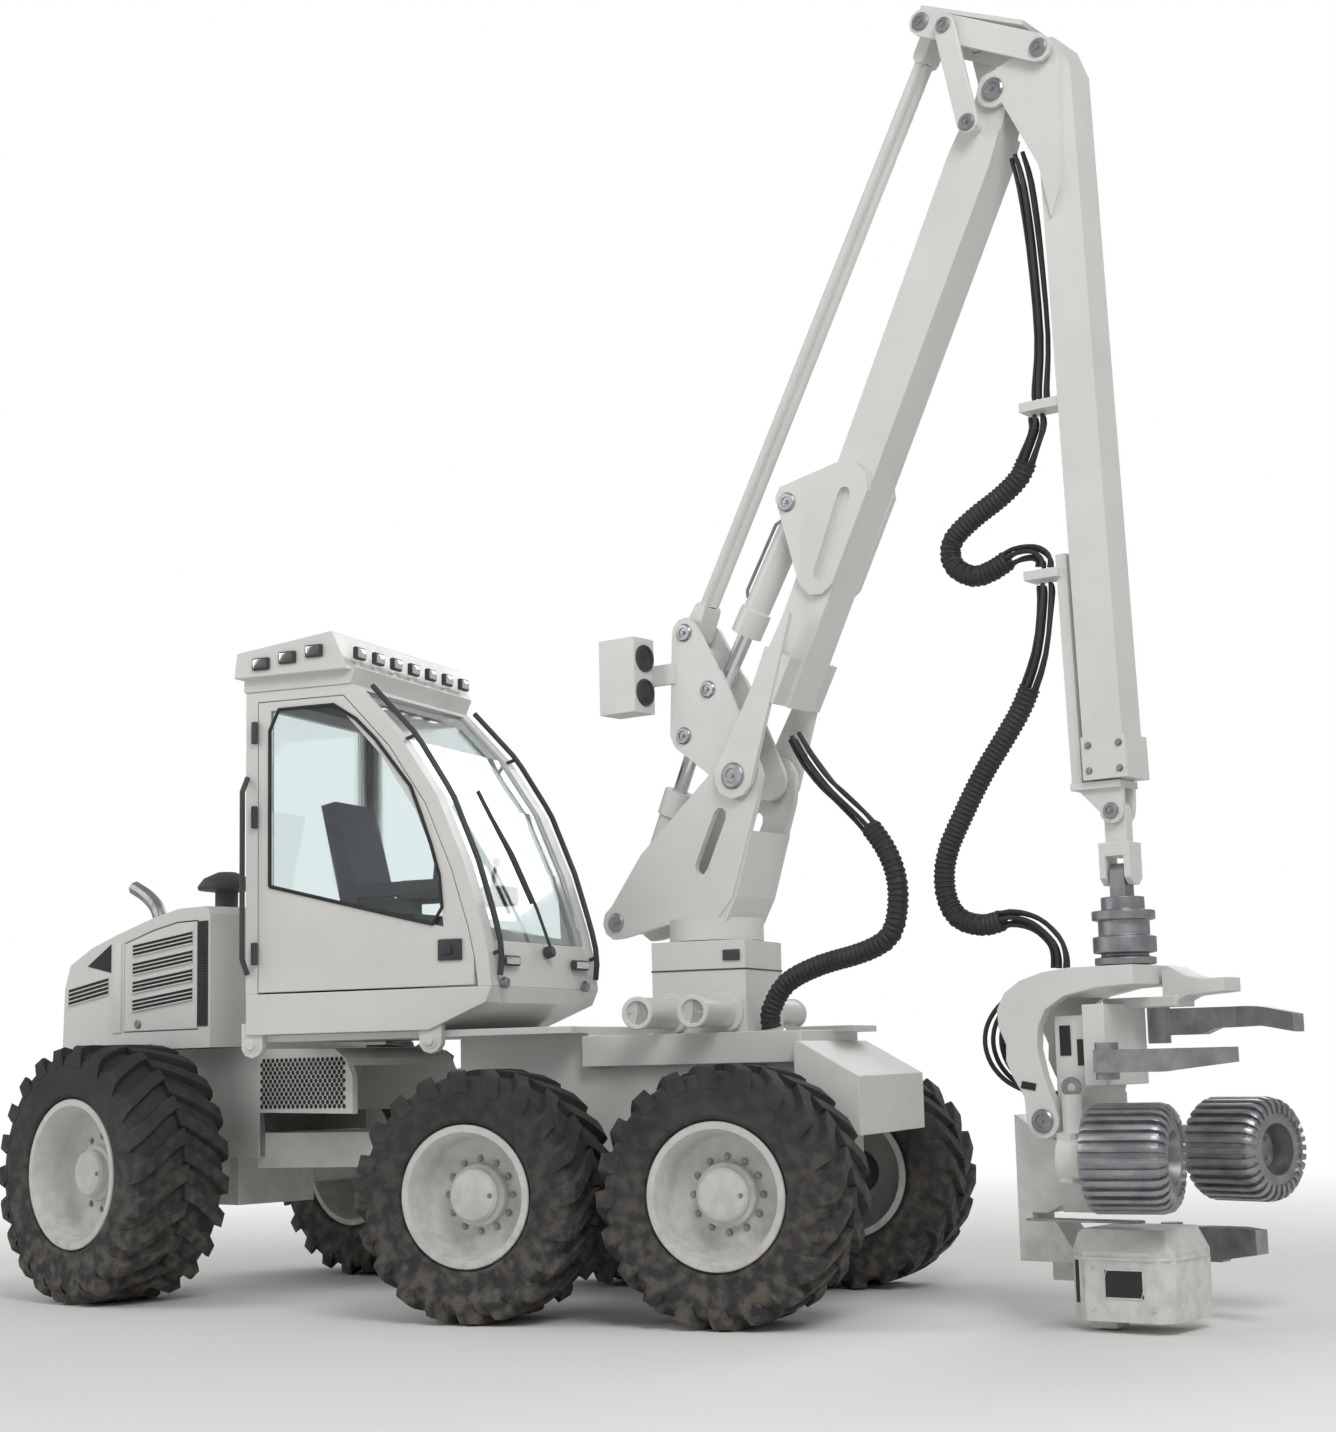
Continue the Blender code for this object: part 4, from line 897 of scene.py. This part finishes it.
# Slewing base
rackEnds = []
for x in (0.09, 0.41):
    for sign in (-1, 1):
        ring = spun([(0, -0.002), (0.062, -0.002), (0.066, 0.012), (0.084, 0.012), (0.090, 0.006),
            (0.090, -0.02),
                     (0, -0.02)], 40)
        rackEnds.append(moved(ring, toward((x, sign * 0.802, 1.60), (0, sign, 0))))
        collar = spun([(0.084, 0.012), (0.106, 0.012), (0.112, 0.005), (0.112, -0.02),
            (0.084, -0.02)], 40)
        rackEnds.append(moved(collar, toward((x, sign * 0.342, 1.60), (0, sign, 0))))
fitted("rack_ends", rackEnds, onFront, paint, "front", "paint")
seam = [block(-0.034, 0.534, -0.304, -0.298, 1.834, 1.842, 0.001),
    block(0.528, 0.534, -0.304, 0.304, 1.834, 1.842, 0.001),
        block(0.40, 0.50, -0.312, -0.298, 1.885, 1.945, 0.005)]
fitted("housing_seam", seam, onFront, darkPaint, "front", "dark")
ring = repeated(moved(bolt(0.013, 0.012), move(0.235, 0, 0)), 16, turn=math.tau / 16)
fitted("slew_bolts", [moved(ring, move(machine["slewX"], 0, 2.001))],
    onFront, steel, "front", "steel")
print("cab, hood and slewing base ready")

# Crane pins, hard pipes, lamps and the head
pins = [("main", 0.42, 2.91, 0.246, 0.075, "main_boom"),
    ("lift_foot", -0.47, 2.14, 0.201, 0.055, "crane_base"),
        ("link_top", 0.02, 3.79, 0.131, 0.052, "base_link"),
        ("link_mid", 0.18, 3.44, 0.131, 0.050, "base_link"),
        ("link_low", 0.0, 3.19, 0.131, 0.050, "base_link"),
        ("bracket", 0.78, 4.435, 0.151, 0.055, "main_boom"),
        ("short_low", 2.07, 6.31, 0.216, 0.048, "short_link"),
        ("short_top", 1.95, 6.90, 0.216, 0.044, "short_link"),
        ("rod_top", 1.79, 6.98, 0.181, 0.052, "top_link"),
        ("stick", 2.50, 6.62, 0.181, 0.052, "top_link"),
        ("tip", 2.19, 6.49, 0.131, 0.065, "outer_boom"),
        ("hang", 2.64, 2.54, 0.076, 0.042, "extension"),
        ("tilt", 2.27, 1.00, 0.261, 0.060, "head_yoke")]
for name, h, z, half, radius, body in pins:
    boss = joined([spun([(0, 0.010), (radius * 0.5, 0.010), (radius * 0.55, 0.015),
        (radius * 0.85, 0.015),
                         (radius, 0.006), (radius, -0.003), (0, -0.003)], 36),
                   moved(bolt(0.012, 0.010), move(0, 0, 0.009))])
    both = [moved(boss, toward((h, sign * half, z), (0, sign, 0))) for sign in (-1, 1)]
    fitted(f"pin_{name}", both, onCrane, steel, body, "steel")
collar = {"h": (2.555, 2.725), "z": (2.745, 2.875), "half": 0.1245}
fitted("collar_bolts", [moved(bolt(0.013, 0.012), toward((h, sign * collar["half"], z),
    (0, sign, 0)))
                        for h in collar["h"] for z in collar["z"] for sign in (-1, 1)],
                        onCrane, steel, "outer_boom", "steel")
lampRing = spun([(0, 0.004), (0.062, 0.004), (0.066, 0.014), (0.076, 0.014), (0.080, 0.006),
    (0.080, -0.01), (0, -0.01)], 40)
lampFace = spun([(0, 0.012), (0.03, 0.011), (0.060, 0.006), (0.060, 0.002), (0, 0.002)], 32)
lampSpots = [toward((-0.219, -0.205, z), (1, 0, 0)) for z in (3.46, 3.66)]
fitted("crane_lamps", [moved(lampRing, spot) for spot in lampSpots],
    onCrane, darkPaint, "base_link", "dark")
fitted("crane_lamp_faces", [moved(lampFace, spot) for spot in lampSpots],
    onCrane, lens, "base_link", "glass")


def hardPipes(name, foot, eye, start, end, offset, body):
    line = Vector((eye[0] - foot[0], 0, eye[1] - foot[1])).normalized()
    out = Vector((line.z, 0, -line.x)) * offset
    made = []
    for v, stop in ((-0.030, end), (0.030, start + 0.10)):
        base = Vector((foot[0], v, foot[1]))
        made.append(pipe([base + line * start + out * 0.75, base + line * (start + 0.02) + out,
                          base + line * (stop - 0.02) + out, base + line * stop + out * 0.75],
                          0.010, 8))
    return fitted(name, made, onCrane, steel, body, "steel")


hardPipes("lift_pipes", (-0.47, 2.14), (0.0, 3.19), 0.12, 0.62, 0.094, "lift_barrel")
hardPipes("reach_pipes", (0.78, 4.435), (0.18, 3.44), 0.12, 0.60, 0.096, "reach_barrel")

# Feed rollers: a drum with ribs that curve over its open end
rib = [(0.222, 0.108), (0.248, 0.112), (0.262, 0.135), (0.262, 0.455), (0.252, 0.495),
    (0.225, 0.520), (0.180, 0.524),
       (0.180, 0.505), (0.222, 0.470)]
drum = spun([(0, 0.42), (0.075, 0.42), (0.080, 0.400), (0.108, 0.400), (0.112, 0.42),
    (0.130, 0.512), (0.205, 0.512),
             (0.232, 0.490), (0.240, 0.455), (0.240, 0.14), (0.225, 0.105), (0.125, 0.10),
             (0.125, 0.26), (0, 0.26)], 60)
rollers = {"right": ((2.54, -0.52, 0.83), 12), "left": ((2.66, 0.66, 0.83), -14)}
for side, (place, heading) in rollers.items():
    ahead = turnZ(heading).to_3x3() @ Vector((1, 0, 0))
    ribs = repeated(moved(slab(rib, 0.026, 0.003), move(0, 0.013, 0) @ sideFace),
        30, turn=math.tau / 30)
    hub = [repeated(moved(bolt(0.010, 0.012), move(0.055, 0, 0.419)), 6, turn=math.tau / 6)]
    roller = fitted(f"ribbed_roller_{side}", [drum, ribs] + hub, onCrane @ toward(place, ahead),
        steel,
                    f"feed_roller_{side}", "steel")
    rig.replaces(roller, f"feed_roller_{side}")

# Head: slots, louvre plate, windows of the saw box, eyelets and the loop of thin hoses behind the yoke; the slots and
# the saw box windows are dark sheets of painted shade
dark = []
for v in (-0.2605, 0.2565):
    dark.append(onSide([(2.155, 1.165), (2.235, 1.150), (2.245, 1.185), (2.165, 1.200)],
        0.004, v, 0.001))
dark.append(onSide([(2.34, 1.32), (2.40, 1.32), (2.40, 1.47), (2.34, 1.47)], 0.004, -0.1705, 0.001))
dark.append(onSide([(2.435, 1.27), (2.475, 1.27), (2.475, 1.40), (2.435, 1.40)],
    0.004, -0.1705, 0.001))
fitted("head_slots", dark[:2], onCrane, gasketAndShade, "head_yoke", "dark")
fitted("frame_slots", dark[2:], onCrane, gasketAndShade, "head_frame", "dark")


# A window is a dark block that paints the shade inside the saw box opening
def window(width, height, depth=0.006):
    return block(-width / 2, width / 2, -depth, 0, -height / 2, height / 2, 0.0025)


nearWindow = move(2.74, -0.400, 0.235)
leftWindow = move(2.462, -0.327, 0.235) @ turnZ(-47)
fitted("saw_windows", [moved(window(0.20, 0.13), nearWindow), moved(window(0.075, 0.21),
    leftWindow)], onCrane, gasketAndShade,
       "head_frame", "dark")
frames = []
for spot, w, h in ((nearWindow, 0.20, 0.13), (leftWindow, 0.075, 0.21)):
    loop = [(-w / 2, 0.001, -h / 2), (w / 2, 0.001, -h / 2), (w / 2, 0.001, h / 2),
        (-w / 2, 0.001, h / 2), (-w / 2, 0.001, -h / 2)]
    frames.append(moved(pipe(loop, 0.008, 8), spot))
band = [(2.398, 0.0), (2.398, -0.262), (2.529, -0.402), (2.921, -0.402), (2.982, -0.341),
    (2.982, 0.0)]
frames.append(pipe([(h, v, 0.352) for h, v in band], 0.010, 8))
frames += [moved(bolt(0.010, 0.009), toward((h, -0.4, z),
    (0, -1, 0))) for h in (2.57, 2.89) for z in (0.12, 0.31)]
fitted("saw_box_trim", frames, onCrane, paint, "head_frame", "paint")
eyelet = spun([(0.020, 0.012), (0.046, 0.012), (0.050, 0.006), (0.050, -0.006), (0.046, -0.012),
    (0.020, -0.012),
               (0.020, 0.012)], 28)
for side, (h, v) in (("right", (2.43, -0.245)), ("left", (2.43, 0.245))):
    fitted(f"arm_eyelet_{side}", [moved(eyelet, toward((h, v, 1.165), (0.4, -0.9, 0)))],
        onCrane, steel, f"feed_arm_{side}",
           "steel")
loopLine = [(2.20, 1.66), (2.10, 1.64), (2.00, 1.58), (1.93, 1.49), (1.91, 1.39), (1.94, 1.29),
    (2.01, 1.21), (2.10, 1.16),
            (2.20, 1.13), (2.36, 1.12)]
for number in range(5):
    spread = -0.10 + 0.05 * number
    points = routeCurve([onCrane @ Vector((h - 0.02 * abs(number - 2),
        spread, z)) for h, z in loopLine])
    mesh, length = tubeMesh(points, strand["radius"], 0, 0, 10)
    piece = newPiece(f"head_loop_{number}", mesh, sleeveRubber, "head_yoke", "hose")
    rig.cord(piece, exit=points[0], length=length, diameter=2 * strand["radius"],
        far_end="object", stiffness="stiff",
            lay="hanging", path=points)
print("crane and head details ready")

# Floor, sky and lamps
studio = {"floor": (0.86, 0.86, 0.85), "sky": (0.96, 0.96, 0.96),
    "fill": 0.42, "size": 400, "fade": (4.5, 13)}
floorMesh = bpy.data.meshes.new("floor")
half = studio["size"] / 2
floorMesh.from_pydata([(-half, -half, 0), (half, -half, 0), (half, half, 0), (-half, half, 0)], [],
    [(0, 1, 2, 3)])
floor = bpy.data.objects.new("floor", floorMesh)
scene.collection.objects.link(floor)
floorLook, tree, shader = startMaterial("floorLook")
shader.inputs["Base Color"].default_value = (*studio["floor"], 1)
shader.inputs["Roughness"].default_value = 0.9
away = addNode(tree, "ShaderNodeVectorMath", {"operation": "LENGTH"}, i0=addNode(tree,
    "ShaderNodeNewGeometry").outputs["Position"])
fade = between(tree, away.outputs["Value"], *studio["fade"])
seenOnly = addNode(tree, "ShaderNodeLightPath").outputs["Is Camera Ray"]
share = addNode(tree, "ShaderNodeMath", {"operation": "MULTIPLY"}, i0=fade, i1=seenOnly).outputs[0]
bright = addNode(tree, "ShaderNodeEmission", Color=(1, 1, 1, 1), Strength=1.0)
mixed = addNode(tree, "ShaderNodeMixShader", i0=share, i1=shader.outputs[0], i2=bright.outputs[0])
tree.links.new(mixed.outputs[0], tree.nodes["Material Output"].inputs["Surface"])
floorMesh.materials.append(floorLook)
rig.stage(floor)
world = bpy.data.worlds.new("studio")
world.use_nodes = True
scene.world = world
tree = world.node_tree
fill = tree.nodes["Background"]
fill.inputs["Color"].default_value = (*studio["sky"], 1)
fill.inputs["Strength"].default_value = studio["fill"]
seen = addNode(tree, "ShaderNodeBackground", Color=(1, 1, 1, 1), Strength=1.0)
ray = addNode(tree, "ShaderNodeLightPath")
pick = addNode(tree, "ShaderNodeMixShader")
direct = addNode(tree, "ShaderNodeMath", {"operation": "MAXIMUM"}, i0=ray.outputs["Is Camera Ray"],
                 i1=ray.outputs["Is Transmission Ray"])
tree.links.new(direct.outputs[0], pick.inputs[0])
tree.links.new(fill.outputs[0], pick.inputs[1])
tree.links.new(seen.outputs[0], pick.inputs[2])
tree.links.new(pick.outputs[0], tree.nodes["World Output"].inputs["Surface"])


def softLamp(name, place, target, size, power):
    data = bpy.data.lights.new(name, "AREA")
    data.size = size
    data.energy = power
    lamp = bpy.data.objects.new(name, data)
    scene.collection.objects.link(lamp)
    aim = (Vector(target) - Vector(place)).to_track_quat("-Z", "Y")
    lamp.matrix_world = move(*place) @ aim.to_matrix().to_4x4()


softLamp("key", (8, -10, 12), (0, 0, 2.5), 6, 900)
softLamp("side", (-11, -7, 8), (0, 0, 2.5), 7, 420)
softLamp("rim", (2, 12, 10), (0, 0, 3), 7, 420)
print("studio ready")

sizes = {"cad": [list(corner) for corner in cadBox],
    "visual": [list(corner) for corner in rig.bounds()]}
with open("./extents.json", "w") as out:
    out.write(repr(sizes).replace("'", '"'))
